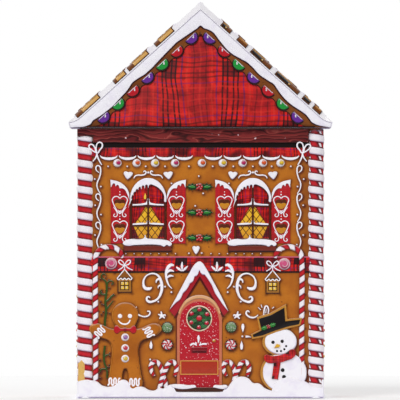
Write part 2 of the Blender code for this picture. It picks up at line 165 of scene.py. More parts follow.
def plate(*outlines, front, rim=0.35, back=-0.5):
    """A flat shape whose face is `front` out of the sheet. An outline inside another is a hole."""
    curve = draw_curve(outlines, closed=True)
    curve.data.dimensions = "2D"
    curve.data.fill_mode = "BOTH"
    curve.data.resolution_u = 5
    curve.data.extrude = ((front - back) / 2 - rim) * MM
    curve.data.bevel_depth = rim * MM
    curve.data.bevel_resolution = 1
    curve.data.offset = -rim * MM
    return to_mesh(curve, (front + back) / 2)


def swelling(stroke, closed, tip):
    """The share of the full width at each knot: its own third value, or thinner towards both ends."""
    last = max(len(stroke) - 1, 1)
    for i, (_, _, *own) in enumerate(stroke):
        if own and own[0] != CORNER:
            yield own[0]
        else:
            yield 1.0 if closed else 1 - (1 - tip) * abs(2 * i / last - 1) ** 3


def piping(*strokes, radius, tip=0.5, closed=False, squash=0.8, lift=0.0, steps=4):
    """Icing squeezed out in lines. A knot's third value is its own share of the width."""
    curve = draw_curve(strokes, closed)
    curve.data.dimensions = "3D"
    curve.data.resolution_u = steps
    curve.data.bevel_depth = radius * MM
    curve.data.bevel_resolution = 2
    curve.data.use_fill_caps = True
    for spline, stroke in zip(curve.data.splines, strokes):
        for knot, width in zip(spline.bezier_points, swelling(stroke, closed, tip)):
            knot.radius = width
    curve.scale.z = squash
    return to_mesh(curve, lift)

# %% [markdown]
# ## Domes and pillows
#
# Sweets, berries and dots of icing are pressed domes: one flattened sphere, copied for each place,
# because there are hundreds. The figures are pressed deepest, with full round edges that a plate
# doesn't have, so a pillow is a plate remeshed to small even cells and smoothed.

# %% Domes and pillows
def beads(places, radius=0.9, height=0.7, lift=-0.1, slices=12):
    """Small domes at each (x, y) or (x, y, own radius), joined in one mesh."""
    select_only()
    bpy.ops.mesh.primitive_uv_sphere_add(segments=slices, ring_count=slices // 2, radius=MM)
    bead = bpy.context.object
    master = bead.data.copy()
    shape = bmesh.new()
    for x, y, *own in places:
        size = own[0] if own else radius
        start = len(shape.verts)
        shape.from_mesh(master)
        scale = Matrix.Diagonal((size, size, height * size / radius, 1.0))
        shape.verts.ensure_lookup_table()
        bmesh.ops.transform(shape, matrix=shift(x, y, lift) @ scale, verts=shape.verts[start:])
    shape.to_mesh(bead.data)
    shape.free()
    select_only(bead)
    bpy.ops.object.shade_smooth()
    return bead


def pillow(obj, cell=0.55, rounds=8):
    """Remeshes a closed plate to even cells and smooths it."""
    select_only(obj)
    remesh = obj.modifiers.new("cells", "REMESH")
    remesh.mode = "VOXEL"
    remesh.voxel_size = cell * MM
    bpy.ops.object.modifier_apply(modifier=remesh.name)
    soft = obj.modifiers.new("soft", "SMOOTH")
    soft.factor = 0.6
    soft.iterations = rounds
    bpy.ops.object.modifier_apply(modifier=soft.name)
    bpy.ops.object.shade_smooth()
    return obj

# %% [markdown]
# ## Outlines
#
# A drawing on a tin repeats a few forms: arcs, boxes, arches and shapes whose left half mirrors the
# right. Small functions give their knots, so a shape is listed only where nothing simpler says it.

# %% Outlines
def arc(x, y, radius_x, radius_y, start, end, steps=6):
    angles = [math.radians(start + (end - start) * i / steps) for i in range(steps + 1)]
    return [(x + radius_x * math.cos(a), y + radius_y * math.sin(a)) for a in angles]


def oval(x, y, radius_x, radius_y=None, steps=8):
    return arc(x, y, radius_x, radius_y or radius_x, 0, 360, steps)[:-1]


def corners(*points):
    return [(x, y, CORNER) for x, y in points]


def box(left, low, right, high):
    return corners((left, low), (right, low), (right, high), (left, high))


def arch(x, half, foot, spring):
    head = arc(x, spring, half, half, 0, 180)
    return corners((x - half, foot), (x + half, foot), head[0]) + head[1:-1] + corners(head[-1])


def flipped(points, about=0.0):
    return [(2 * about - x, y, *kind) for x, y, *kind in points]


def moved(points, x=0.0, y=0.0, size=1.0):
    return [(px * size + x, py * size + y, *kind) for px, py, *kind in points]


def both_sides(half):
    """A closed outline from its right half, which starts and ends on the centre line."""
    return half + [point for point in reversed(flipped(half)) if abs(point[0]) > 1e-6]

# %% [markdown]
# ## Places kept as attributes
#
# A print follows its own sheet, so its material needs the flat drawing's coordinates after the piece
# has been stood up. They are kept on each vertex, in millimetres: `own` inside one motif, `sheet`
# along the whole wall, and `run` along and across a cane. `ink` holds the colour of small parts that
# share one enamel. A motif is modelled once, and `dress` stands copies of it on the walls.

# %% Marking, colouring and standing up
LONG_WALLS, SHORT_WALLS, MIDDLE = (FRONT, REAR), (RIGHT, LEFT), ((0, 0),)
ON_FRONT, ON_LONG, ON_SHORT = ((FRONT,), MIDDLE), (LONG_WALLS, MIDDLE), (SHORT_WALLS, MIDDLE)
AS_MODELLED = Matrix.Identity(4)
standing = {wall: [] for wall in range(4)}


def mark(obj, name, places=None):
    """Keeps a point for every vertex, by default where it is now."""
    mesh = obj.data
    if places is None:
        places = numpy.empty(len(mesh.vertices) * 3)
        mesh.vertices.foreach_get("co", places)
        places /= MM
    if name in mesh.attributes:
        mesh.attributes.remove(mesh.attributes[name])
    layer = mesh.attributes.new(name, "FLOAT_VECTOR", "POINT")
    layer.data.foreach_set("vector", numpy.asarray(places, dtype=float).ravel())
    return obj


def colour(red, green, blue):
    """A printed colour, 0 to 255 for each ink, as a shader's linear value."""
    ink = red, green, blue
    linear = [((c / 255 + 0.055) / 1.055) ** 2.4 if c > 10 else c / 3295 for c in ink]
    return (*linear, 1.0)


def coat(obj, material, hue=None):
    """Gives a part its material, and its own colour where the material takes one."""
    obj.data.materials.clear()
    obj.data.materials.append(material)
    if hue is not None:
        layer = obj.data.attributes.new("ink", "FLOAT_COLOR", "POINT")
        layer.data.foreach_set("color", numpy.tile(hue, len(obj.data.vertices)))
    return obj


def join(*parts):
    select_only(*parts)
    if len(parts) > 1:
        bpy.ops.object.join()
    return parts[0]


def gather(*parts):
    """Joins the parts of one motif and keeps their places in it."""
    return mark(join(*parts), "own")


def copy_of(obj):
    twin = obj.copy()
    twin.data = obj.data.copy()
    bpy.context.scene.collection.objects.link(twin)
    return twin


def stand(obj, name, plane, slot, x=0.0, y=0.0):
    """Moves a flat motif along its sheet, marks its place there and stands it on the plane."""
    obj.name = name
    obj.data.transform(shift(x, y))
    mark(obj, "sheet")
    obj.data.transform(plane)
    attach(obj, "root")
    return obj


def dress(label, slot, motif, *uses):
    """Stands copies of a motif. Each use is some walls with the (x, y) places on them."""
    for sides, places in uses:
        for wall in sides:
            for i, (x, y) in enumerate(places, 1):
                name = f"{WALL_NAMES[wall]}_{label}" + (f"_{i}" if len(places) > 1 else "")
                standing[wall].append(stand(copy_of(motif), name, walls[wall], slot, x, y))
    bpy.data.objects.remove(motif)

# %% [markdown]
# ## Nodes from short calls
#
# Everything on the tin is ink under one glossy varnish. The finishes are node trees, and a tree is
# easiest to read when each node is one short call. `open_finish` and `open_group` start a tree, and
# these helpers add nodes to whichever tree was opened last.

# %% Helpers for nodes
COLOUR, NUMBER, VECTOR = "NodeSocketColor", "NodeSocketFloat", "NodeSocketVector"


def fill(socket, value):
    """Links a socket to another node's output, or gives it a constant."""
    if isinstance(value, bpy.types.NodeSocket):
        tree.links.new(value, socket)
    else:
        socket.default_value = value


def add(kind, *values, **named):
    """Adds a node. Values fill sockets in order. A capitalised name is a socket, others are settings."""
    made = tree.nodes.new("ShaderNode" + kind)
    for key, value in named.items():
        if key[0].islower():
            setattr(made, key, value)
    for socket, value in zip(made.inputs, values):
        fill(socket, value)
    for key, value in named.items():
        if key[0].isupper():
            fill(made.inputs[key], value)
    return made


def maths(operation, *values):
    return add("Math", *values, operation=operation).outputs[0]


def times(*values):
    return maths("MULTIPLY", *values)


def tint(base, hue, mask=1.0, strength=1.0, blend="MIX"):
    """Lays a colour over another where a mask says, up to a strength."""
    share = times(mask, strength) if strength != 1.0 else mask
    made = add("Mix", share, data_type="RGBA", blend_type=blend)
    fill(made.inputs[6], base)
    fill(made.inputs[7], hue)
    return made.outputs[2]


def step_up(value, low, high):
    """0 below `low`, 1 above `high`, smooth between."""
    return add("MapRange", value, low, high, interpolation_type="SMOOTHSTEP").outputs[0]


def noise(place, scale, detail=2.0):
    return add("TexNoise", Vector=place, Scale=scale, Detail=detail).outputs[0]


def away(value, middle):
    """How far a value is from a middle, whichever way."""
    return maths("ABSOLUTE", maths("SUBTRACT", value, middle))


def line(value, middle, half, soft=0.02):
    """1 within `half` of `middle` on a pattern that repeats every 1, else 0."""
    turn = maths("FRACT", maths("ADD", value, 0.5 - middle))
    return step_up(away(turn, 0.5), half + soft, half - soft)


def parts_of(place):
    return add("SeparateXYZ", place).outputs


def kept(name, output="Vector"):
    return add("Attribute", attribute_name=name).outputs[output]


def open_group(name, inputs, outputs):
    """Starts a node group: the group, what it is given and what it has to fill."""
    global tree
    tree = bpy.data.node_groups.new(name, "ShaderNodeTree")
    for way, sockets in (("INPUT", inputs), ("OUTPUT", outputs)):
        for label, kind in sockets.items():
            tree.interface.new_socket(label, in_out=way, socket_type=kind)
    return tree, tree.nodes.new("NodeGroupInput").outputs, tree.nodes.new("NodeGroupOutput").inputs


def use(group, **named):
    made = tree.nodes.new("ShaderNodeGroup")
    made.node_tree = group
    for key, value in named.items():
        fill(made.inputs[key], value)
    return made.outputs

# %% [markdown]
# ## Painted light and varnish
#
# The art on a tin is painted with light from above: relief is lighter where it faces up and shaded
# where it faces down. One group does that for every ink. A second one gives the varnish faint
# streaks, and the sheet the slight waviness that pressing leaves.

# %% Painted light and varnish
light_inputs = {"Colour": COLOUR, "Shade": COLOUR, "Depth": NUMBER, "Glow": NUMBER}
painted_light, given, result = open_group("painted_light", light_inputs, {"Colour": COLOUR})
rise = parts_of(add("NewGeometry").outputs["Normal"])[2]
dim = times(step_up(times(rise, -1.0), 0.05, 0.85), given["Depth"])
lit = times(step_up(rise, 0.25, 0.95), given["Glow"])
shaded = tint(given["Colour"], given["Shade"], dim)
fill(result["Colour"], tint(shaded, colour(255, 250, 245), lit))

varnish_outputs = {"Roughness": NUMBER, "Height": NUMBER}
varnish, given, result = open_group("varnish", {"Vector": VECTOR, **varnish_outputs}, varnish_outputs)
spread = maths("MULTIPLY_ADD", noise(given["Vector"], 90.0, 3.0), 0.12, -0.06)
fill(result["Roughness"], maths("ADD", given["Roughness"], spread))
wave = times(noise(given["Vector"], 260.0, 1.0), 0.35)
fill(result["Height"], maths("ADD", given["Height"], wave))

# The default colour of painted shade, where relief faces down.
SHADE_UMBER = colour(63, 39, 39)


def plain_shader(name, **values):
    """A new material and its shader. An underscore stands for the space in a socket's name."""
    material = bpy.data.materials.new(name)
    material.use_nodes = True
    made = material.node_tree.nodes["Principled BSDF"]
    for label, value in values.items():
        made.inputs[label.replace("_", " ")].default_value = value
    return material, made


def open_finish(name, **own):
    """Starts a material whose shader has the varnish's constant specular and coat settings."""
    global tree, shader
    gloss_and_sheen = {"Specular_IOR_Level": 0.22, "Coat_Weight": 0.08, "Coat_Roughness": 0.12}
    material, shader = plain_shader(name, **gloss_and_sheen, **own)
    tree = material.node_tree
    return material


def close_finish(hue, shade=SHADE_UMBER, depth=0.6, glow=0.25, roughness=0.4, height=0.5, bump=0.25):
    lit = use(painted_light, Colour=hue, Shade=shade, Depth=depth, Glow=glow)
    fill(shader.inputs["Base Color"], lit["Colour"])
    place = add("TexCoord").outputs["Object"]
    over = use(varnish, Vector=place, Roughness=roughness, Height=height)
    fill(shader.inputs["Roughness"], over["Roughness"])
    relief = add("Bump", Strength=bump, Distance=0.15 * MM, Height=over["Height"])
    fill(shader.inputs["Normal"], relief.outputs[0])


print("painted light and varnish ready")

# %% [markdown]
# ## Dough
#
# The walls, the figures and the lid's boards are printed as baked dough: broad warm patches, fine
# mottling and small dark pores, which are noise at three sizes. The wall is also darker beside the
# relief, a painted shadow kept on its vertices. Loose biscuits take painted shade on downward edges.

# %% Dough
dough_inputs = {"Vector": VECTOR, "Colour": COLOUR, "Dark": COLOUR}
biscuit, given, result = open_group("biscuit", dough_inputs, {"Colour": COLOUR, "Height": NUMBER})
broad = step_up(noise(given["Vector"], 0.06, 3.0), 0.35, 0.75)
fine = step_up(noise(given["Vector"], 0.9, 3.0), 0.45, 0.75)
cells = add("TexVoronoi", Vector=given["Vector"], Scale=0.17).outputs["Distance"]
pores = step_up(cells, 0.09, 0.05)
dough = tint(tint(given["Colour"], given["Dark"], broad), given["Dark"], fine, 0.35)
fill(result["Colour"], tint(dough, colour(84, 40, 16), pores, 0.7))
fill(result["Height"], maths("SUBTRACT", 1.0, pores))

wall_dough = open_finish("wall_dough")
dough = use(biscuit, Vector=kept("sheet"), Colour=colour(196, 118, 30), Dark=colour(170, 94, 24))
# Painted shadow: the wall darkens by its shade value beside the relief, the pillars and above the snow.
wear_and_shadow = tint(dough["Colour"], colour(92, 34, 18), kept("shade", "Fac"))
close_finish(wear_and_shadow, depth=0.0, glow=0.0, height=dough["Height"])


def make_dough(name, light, dark, rim):
    material = open_finish(name)
    dough = use(biscuit, Vector=kept("sheet"), Colour=colour(*light), Dark=colour(*dark))
    # The rim colour is the painted shade on edges that face down.
    close_finish(dough["Colour"], shade=colour(*rim), depth=0.9, glow=0.3, height=dough["Height"])
    return material


golden_dough = make_dough("golden_dough", (212, 142, 54), (176, 104, 34), (84, 36, 14))
brown_dough = make_dough("brown_dough", (188, 110, 24), (162, 88, 18), (84, 38, 16))
board_dough = make_dough("board_dough", (136, 76, 26), (108, 54, 18), (46, 18, 10))
print("dough in four bakes")

# %% [markdown]
# ## Icing and enamel
#
# Icing is white with a lilac wash, shaded where it faces down, and it gives off a little light so
# that it stays the brightest ink. Thin piping takes less shade than deep snow, or it would turn grey.
# Sweets, leaves and other small parts are one enamel that takes its colour from each part.

# %% Icing and enamel
ICING_LIGHT = (1, 0.98, 1, 1)


def make_icing(name, shade, depth, light):
    material = open_finish(name, Emission_Color=ICING_LIGHT, Emission_Strength=light)
    wash = step_up(noise(kept("sheet"), 0.16, 2.0), 0.46, 0.7)
    hue = tint(colour(243, 241, 248), colour(224, 216, 238), wash, 0.4)
    close_finish(hue, shade=shade, depth=depth, glow=0.5, roughness=0.45)
    return material


def make_enamel(name, glow):
    material = open_finish(name)
    hue = kept("ink", "Color")
    # The deeper ink gives random specks, and the painted shade where a part faces down.
    deep = tint(hue, (0.22, 0.18, 0.2, 1), blend="MULTIPLY")
    speck = step_up(noise(kept("sheet"), 1.2, 2.0), 0.5, 0.8)
    close_finish(tint(hue, deep, speck, 0.25), shade=deep, depth=0.8, glow=glow, roughness=0.3)
    return material


icing = make_icing("icing", colour(138, 120, 172), depth=0.9, light=0.035)
fine_icing = make_icing("fine_icing", colour(150, 134, 174), depth=0.5, light=0.08)
enamel = make_enamel("enamel", glow=0.45)
flat_enamel = make_enamel("flat_enamel", glow=0.0)
WHITE, DARK, RED = colour(248, 244, 250), colour(38, 18, 18), colour(190, 28, 40)


def painted(obj, red, green, blue):
    return coat(obj, enamel, colour(red, green, blue))


def iced(*parts):
    return [coat(part, fine_icing) for part in parts]


def pale(hue):
    """A colour mixed half with white, as a sweet's sugar is."""
    return tuple(0.5 * c + 0.45 for c in hue[:3]) + (1.0,)


print("icing and enamel mixed")

# %% [markdown]
# ## Tartan
#
# The gables, the bands and the snowman's scarf are printed with a plain check. A woven check mirrors
# about the middle of each repeat, so the position across the cloth is folded there, and each bar is
# one distance from the fold. The same bars run both ways, and the darkest blocks lie where dark bars
# cross. The cloth's folds are painted shade, a slow noise that darkens it.

# %% Tartan
cloth_inputs = {"Vector": VECTOR, "Pitch": NUMBER, "Night": NUMBER}
tartan, given, result = open_group("tartan", cloth_inputs, {"Colour": COLOUR})
folds = add("TexNoise", Vector=given["Vector"], Scale=0.035, Detail=1.0).outputs[1]
bend = add("VectorMath", folds, (-0.5, -0.5, -0.5), operation="ADD").outputs[0]
swing = add("VectorMath", bend, operation="SCALE", Scale=7.0).outputs[0]
x, y, _ = parts_of(add("VectorMath", given["Vector"], swing, operation="ADD").outputs[0])
wear_and_shadow = step_up(noise(given["Vector"], 0.3, 1.0), 0.3, 0.55)
woven = tint(colour(178, 18, 18), colour(222, 30, 22), wear_and_shadow)
black, purple = colour(22, 6, 12), colour(84, 30, 104)
bright, maroon = colour(224, 54, 40), colour(128, 18, 34)
BARS = (
    (0.48, 0.13, maroon, 0.38), (0.3, 0.013, bright, 0.6), (0.5, 0.012, bright, 0.5),
    (0.22, 0.009, purple, 0.7), (0.05, 0.012, black, 0.9), (0.125, 0.012, black, 0.9),
    (0.4, 0.009, black, 0.5),
)
blocks = []
for across, share in ((x, 1.0), (y, 0.6)):
    turn = maths("FRACT", maths("DIVIDE", across, given["Pitch"]))
    fold = away(turn, 0.5)
    blocks.append(step_up(fold, 0.15, 0.12))
    for middle, half, hue, strength in BARS:
        bar = step_up(away(fold, middle), half + 0.008, half - 0.004)
        woven = tint(woven, hue, bar, strength * share)
crossing = times(times(*blocks), given["Night"])
fill(result["Colour"], tint(woven, colour(24, 12, 20), crossing))


def make_tartan_cloth(name, pitch, night, shadow):
    material = open_finish(name)
    place = kept("sheet")
    cloth = use(tartan, Vector=place, Pitch=pitch, Night=night)["Colour"]
    # Painted shade darkens the cloth in its folds, by the shadow share.
    folds = step_up(noise(place, 0.09, 2.0), 0.44, 0.66)
    close_finish(tint(cloth, colour(48, 6, 14), folds, shadow), depth=0.5, glow=0.15, roughness=0.42)
    return material


gable_cloth = make_tartan_cloth("gable_cloth", 36.0, 0.65, 0.3)
frill_cloth = make_tartan_cloth("frill_cloth", 24.0, 0.95, 0.85)
scarf_cloth = make_tartan_cloth("scarf_cloth", 8.0, 0.9, 0.6)
print("tartan in three sizes")

# %% [markdown]
# ## Wood and painted boards
#
# The beam under the eaves is dark red-brown wood. Its grain is noise stretched along the beam and
# read off in contour lines, which wander as real grain does. The door's red paint is speckled with
# snow, and the shutters' has a faint check.

# %% Wood and painted boards
beam_wood = open_finish("beam_wood")
place = kept("sheet")
grain = noise(add("Mapping", Vector=place, Scale=(0.045, 0.13, 1)).outputs[0], 1.0)
rings = maths("MULTIPLY_ADD", grain, 5.0, times(parts_of(place)[1], 0.36))
wood = tint(colour(96, 22, 26), colour(128, 40, 40), step_up(grain, 0.4, 0.6))
wood = tint(wood, colour(26, 6, 8), line(rings, 0.5, 0.1, 0.14), 0.9)
wood = tint(wood, colour(188, 92, 80), line(rings, 0.8, 0.04, 0.08), 0.6)
specks = step_up(noise(place, 0.5, 0.0), 0.79, 0.81)
hue = tint(wood, colour(235, 205, 212), specks, 0.85)
close_finish(hue, depth=0.75, glow=0.2, height=grain, bump=0.5)

RED_PAINT = {"shade": colour(80, 8, 16), "depth": 0.8, "glow": 0.3}
door_red = open_finish("door_red")
specks = step_up(noise(kept("sheet"), 1.0, 1.0), 0.64, 0.72)
close_finish(tint(colour(184, 22, 40), colour(244, 206, 212), specks, 0.75), **RED_PAINT)

shutter_red = open_finish("shutter_red")
check = use(tartan, Vector=kept("sheet"), Pitch=13.0, Night=0.2)["Colour"]
close_finish(tint(colour(182, 22, 34), check, 0.35), **RED_PAINT)
print("wood and boards painted")

# %% [markdown]
# ## Candy stripes
#
# Canes and pillars are red and white candy. One group takes a phase that grows by 1 for each red
# stripe: a cane gives it the distance along its own curve, and a pillar the height with a turn added.
# The pillars at the right carry a painted reflection: a dark patch and a white glint on each red stripe.

# %% Candy stripes
candy_outputs = {"Colour": COLOUR, "White": NUMBER}
candy, given, result = open_group("candy", {"Phase": NUMBER, "Red": NUMBER}, candy_outputs)
phase = maths("FRACT", given["Phase"])
half = times(given["Red"], 0.5)
off = away(phase, 0.5)
white = step_up(maths("SUBTRACT", off, half), -0.02, 0.02)
# Painted sheen down the middle of each red stripe, and painted shade at its edges.
gloss_and_sheen = step_up(maths("SUBTRACT", half, off), 0.02, 0.2)
red = tint(colour(116, 12, 24), colour(196, 28, 40), gloss_and_sheen)
# Painted lilac shade on the underside of each white stripe.
underside = times(step_up(phase, 0.86, 0.76), step_up(phase, 0.5, 0.76))
white_icing = tint(colour(246, 240, 246), colour(196, 178, 205), underside)
fill(result["Colour"], tint(red, white_icing, white))
fill(result["White"], white)


def make_stripes(name, pitch, lean, red):
    """Stripes that run round a cane. `lean` is how far they drop for each step across."""
    material = open_finish(name)
    along, across, _ = parts_of(kept("run"))
    drop = maths("MULTIPLY_ADD", across, lean, along)
    stripes = use(candy, Phase=maths("DIVIDE", drop, pitch), Red=red)
    close_finish(stripes["Colour"], depth=0.3, glow=0.3, height=stripes["White"], bump=0.4)
    return material


cane_stripes = make_stripes("cane_stripes", 7.4, 0.68, 0.52)
small_cane_stripes = make_stripes("small_cane_stripes", 4.6, 0.7, 0.5)

# Here `run` holds a pillar's phase, the turn round it and how much painted reflection it carries.
pillar_stripes = open_finish("pillar_stripes")
phase, turn, painted_reflection = parts_of(kept("run"))
stripes = use(candy, Phase=phase, Red=0.48)
off = maths("SUBTRACT", maths("FRACT", phase), 0.5)
lean = maths("MULTIPLY_ADD", off, 0.5, times(turn, 4.0))
# A painted dark reflection and a painted white glint on each red stripe of the right-hand pillars.
dark = times(line(lean, 0.32, 0.24, 0.08), line(phase, 0.5, 0.2, 0.03))
hue = tint(stripes["Colour"], colour(52, 10, 20), times(dark, painted_reflection), 0.8)
glint = times(line(lean, 0.4, 0.1, 0.03), times(line(phase, 0.5, 0.13, 0.04), painted_reflection))
hue = tint(hue, colour(250, 244, 250), glint)
close_finish(hue, depth=0.3, glow=0.25, height=stripes["White"], bump=0.4)
print("candy stripes in three sizes")

# %% [markdown]
# ## A lit window and bare tin
#
# Behind each window red curtains are tied back from a yellow latticed light. Their edges are two
# slanting lines that meet where they are tied, so the gap between them is the lesser of two ramps.
# The base isn't printed: it is lacquered tinplate with a drawn grain and scuffs.

# %% A lit window and bare tin
FOOT_AT, FOOT_GAP, TIE_AT, TIE_GAP = 95.8, 5.2, 105.0, 8.0

lit_pane = open_finish("lit_pane")
place = kept("own")
x, y, _ = parts_of(place)
low = maths("MULTIPLY_ADD", y, 0.45, FOOT_GAP - FOOT_AT * 0.45)
high = maths("MULTIPLY_ADD", y, -0.63, TIE_GAP + TIE_AT * 0.63)
gap = maths("SUBTRACT", maths("MINIMUM", low, high), maths("ABSOLUTE", x))
glass = tint(colour(226, 156, 36), colour(242, 188, 48), step_up(y, 95.0, 112.0))
for lean in (1.3, -1.3):
    slant = maths("DIVIDE", maths("MULTIPLY_ADD", x, lean, y), 5.4)
    glass = tint(glass, colour(78, 26, 14), line(slant, 0.5, 0.07, 0.03), 0.95)
cloth = use(tartan, Vector=place, Pitch=18.0, Night=0.7)["Colour"]
curtain = tint(cloth, colour(90, 12, 30), 0.1)
# Dark lines at the pleats are painted shade in the curtains' folds.
folds = line(maths("DIVIDE", x, 3.6), 0.5, 0.08, 0.2)
curtain = tint(curtain, colour(60, 6, 20), folds, 0.4)
curtain = tint(curtain, colour(70, 14, 16), step_up(gap, -1.4, -0.3), 0.6)
hue = tint(curtain, glass, step_up(gap, -0.25, 0.25))
close_finish(hue, depth=0.3, glow=0.1, roughness=0.3)

bare_tin = open_finish("bare_tin", Metallic=1.0)
place = add("TexCoord").outputs["Object"]
grain = noise(add("Mapping", Vector=place, Scale=(12, 420, 1)).outputs[0], 1.0, 3.0)
scuffs = step_up(noise(place, 60.0, 4.0), 0.55, 0.75)
hue = tint(colour(205, 203, 198), colour(172, 170, 166), scuffs)
close_finish(hue, depth=0.0, glow=0.0, roughness=0.32, height=grain, bump=0.15)
print(f"{len(bpy.data.materials)} finishes")

# %% [markdown]
# ## Bands round the walls
#
# A wooden beam runs under the eaves on every wall, with a dark shadow and a tartan frill below it.
# The frill is edged with scallops of piped icing, and a second tartan band parts the storeys. The
# bands are plates, so their rims catch the light. The beam runs over one pillar and stops at the other.

# %% Beam, frill, scallops and storey band
BEAM_FOOT, BEAM_TOP, NOTCH_TOP, NOTCH_WIDTH = 154.3, 162.5, 158.2, 9.6
PILLAR_INSET, PILLAR_RADIUS = 3.0, 5.0


def make_bands(beam_left, beam_right, half, over):
    """`over` is the end, -1 or 1, where the beam is cut away round the top of a pillar."""
    outline = box(beam_left, BEAM_FOOT, beam_right, BEAM_TOP)
    low, end = (0, beam_left) if over < 0 else (1, beam_right)
    inner = end - over * NOTCH_WIDTH

    def strip(low, high, front, rim):
        return plate(box(-half, low, half, high), front=front, rim=rim)

    outline[low : low + 1] = corners((end, NOTCH_TOP), (inner, NOTCH_TOP), (inner, BEAM_FOOT))[::-over]
    return gather(
        coat(plate(outline, front=1.9, rim=0.5), beam_wood),
        # The near-black strip under the beam is a painted shadow.
        coat(strip(150.8, BEAM_FOOT + 0.5, 0.25, 0.1), flat_enamel, colour(22, 12, 12)),
        coat(strip(145.8, 151.2, 0.7, 0.3), frill_cloth),
        coat(strip(76.6, 84.8, 0.7, 0.3), frill_cloth),
        painted(strip(84.8, 85.5, 0.8, 0.1), 214, 92, 122),
        # The dark line under the storey band is a painted shadow.
        coat(strip(75.6, 76.7, 0.5, 0.1), enamel, DARK),
    )


def make_scallops(lefts, width=10.6):
    widths = (0.2, 0.6, 1.1, 1.3, 1.1, 0.6, 0.2)
    arcs = [arc(left + width / 2, 146.8, width / 2, 2.3, 180, 360) for left in lefts]
    crescents = [[(x, y, share) for (x, y), share in zip(stroke, widths)] for stroke in arcs]
    return gather(*iced(piping(*crescents, radius=0.68, squash=0.6, lift=0.6)))


stop = PILLAR_INSET + PILLAR_RADIUS - 0.6
long_bands = make_bands(-half_width - 1.8, half_width - stop, 66.5, over=-1)
short_bands = make_bands(stop - half_depth, half_depth, 26.5, over=1)
long_lefts = [-60.7 + 11.35 * i for i in range(5)] + [2.4 + 11.65 * i for i in range(5)]
short_lefts = [-22.8 + 11.4 * i for i in range(4)]
for bands, lefts, use_on in ((long_bands, long_lefts, ON_LONG), (short_bands, short_lefts, ON_SHORT)):
    dress("bands", "tartan_print", bands, use_on)
    dress("scallops", "icing_print", make_scallops(lefts), use_on)
print(f"{len(long_lefts)} scallops on a long wall and {len(short_lefts)} on a short one")

# %% [markdown]
# ## Sweets and icing dots
#
# A row of sweets in magenta, orange and yellow hangs below the frill. Each is a white sugar ring with
# a pale and then a bright dome in it, a little up and to the right, so that it looks lit from there.
# Dots of icing are scattered in fives and sixes round the windows, and run in a line below them.

# %% Ringed sweets and dots
HUES = (colour(190, 36, 98), colour(224, 88, 32), colour(228, 192, 46))


def make_ringed_sweets(xs, y=141.9):
    parts = [coat(beads([(x, y) for x in xs], radius=2.6, height=1.2), enamel, WHITE)]
    for i, hue in enumerate(HUES):
        for shift, radius, height, shade in ((0.35, 2.0, 1.5, pale(hue)), (0.55, 1.7, 1.9, hue)):
            domes = beads([(x + shift, y + shift / 2) for x in xs[i::3]], radius=radius, height=height)
            parts.append(coat(domes, enamel, shade))
    # The small white beads are painted glints.
    parts.append(coat(beads([(x + 0.1, y + 0.9) for x in xs], radius=0.35, height=2.0), enamel, WHITE))
    return gather(*parts)


long_row = (-50.2, -38.6, -27.5, -15.4, 0.8, 13.4, 25.4, 37.7, 48.3)
short_row = [-18.0 + 12.0 * i for i in range(4)]
dress("top_sweets", "sweet_print", make_ringed_sweets(long_row), ON_LONG)
dress("top_sweets", "sweet_print", make_ringed_sweets(short_row), ON_SHORT)

dots = [(x, 139.9) for x in (-55.8, -44.2, -33.1, -21.4, -7, 7.4, 19.8, 31.6, 43, 54.5)]
by_pillar = [(-63.9, 132.2), (-60.2, 127.7), (-63.6, 116.4), (-60.1, 110.8), (-63.7, 98.4), (-59.8, 92.6)]
dots += by_pillar + flipped(by_pillar, about=-0.8)
dots += [(-1, 134), (1.6, 123.6), (-3.2, 116), (-7, 87.4), (0.7, 87.5), (17.2, 129.6), (-17.5, 129.6)]
dots += [(start + 5.0 * i, 87.2, 0.4) for start in (-45.1, 6.3) for i in range(7)]
dress("upper_dots", "icing_print", gather(*iced(beads(dots, radius=0.55, height=0.8))), ON_LONG)
print(f"{len(long_row)} sweets and {len(dots)} dots on each long wall")

# %% [markdown]
# ## Windows
#
# Every window is one motif: a lit arched pane, a wooden frame with a mullion and two transoms, a
# shutter on each side with hearts piped on it, and snow on the arch, the transoms and the sill. The
# shapes overlap in steps, as they do in a pressed sheet, so each is a plate with its own height. The
# arch's snow ends below in icicles, a smooth dip and a sharp tip in turn.

# %% Shutters, hearts and window snow
WINDOW_FOOT, WINDOW_SPRING, WINDOW_HALF, WINDOW_AT = 95.2, 118.7, 10.8, 31.6
HEARTS_AT = [(side * 17.1, y) for side in (-1, 1) for y in (116.6, 101.8)]
SHUTTER = corners((11.2, 93.4), (22.6, 93.2), (22.7, 131))
SHUTTER += [(18.4, 130), (13.4, 125.8), (11.2, 121.6, CORNER)]
HEART = both_sides([
    (0, 4, CORNER), (1.3, 5), (3, 5), (4.5, 3.4), (4.1, 1.3), (2.6, -1.9), (1.2, -4.1),
    (0, -5.4, CORNER),
])
HEART_HOLE = both_sides([(0, 3, CORNER), (1.5, 3.5), (3.3, 2.4), (2.9, 0.2), (1.7, -1.9), (0, -2.9)])
HEART_LIGHT = both_sides([(0, 0.9), (1.9, 1.2), (3, 0.5), (1.9, -1.5), (0, -2.5)])
HEART_TIP = corners((-1.3, -2.9), (0, -3.6), (1.3, -2.9), (0, -5))
CURL = [(3.9, -1.2), (2.1, -3.8), (1.5, -5.4), (2.1, -6.9), (3.3, -7), (3.7, -6), (2.9, -5.3)]

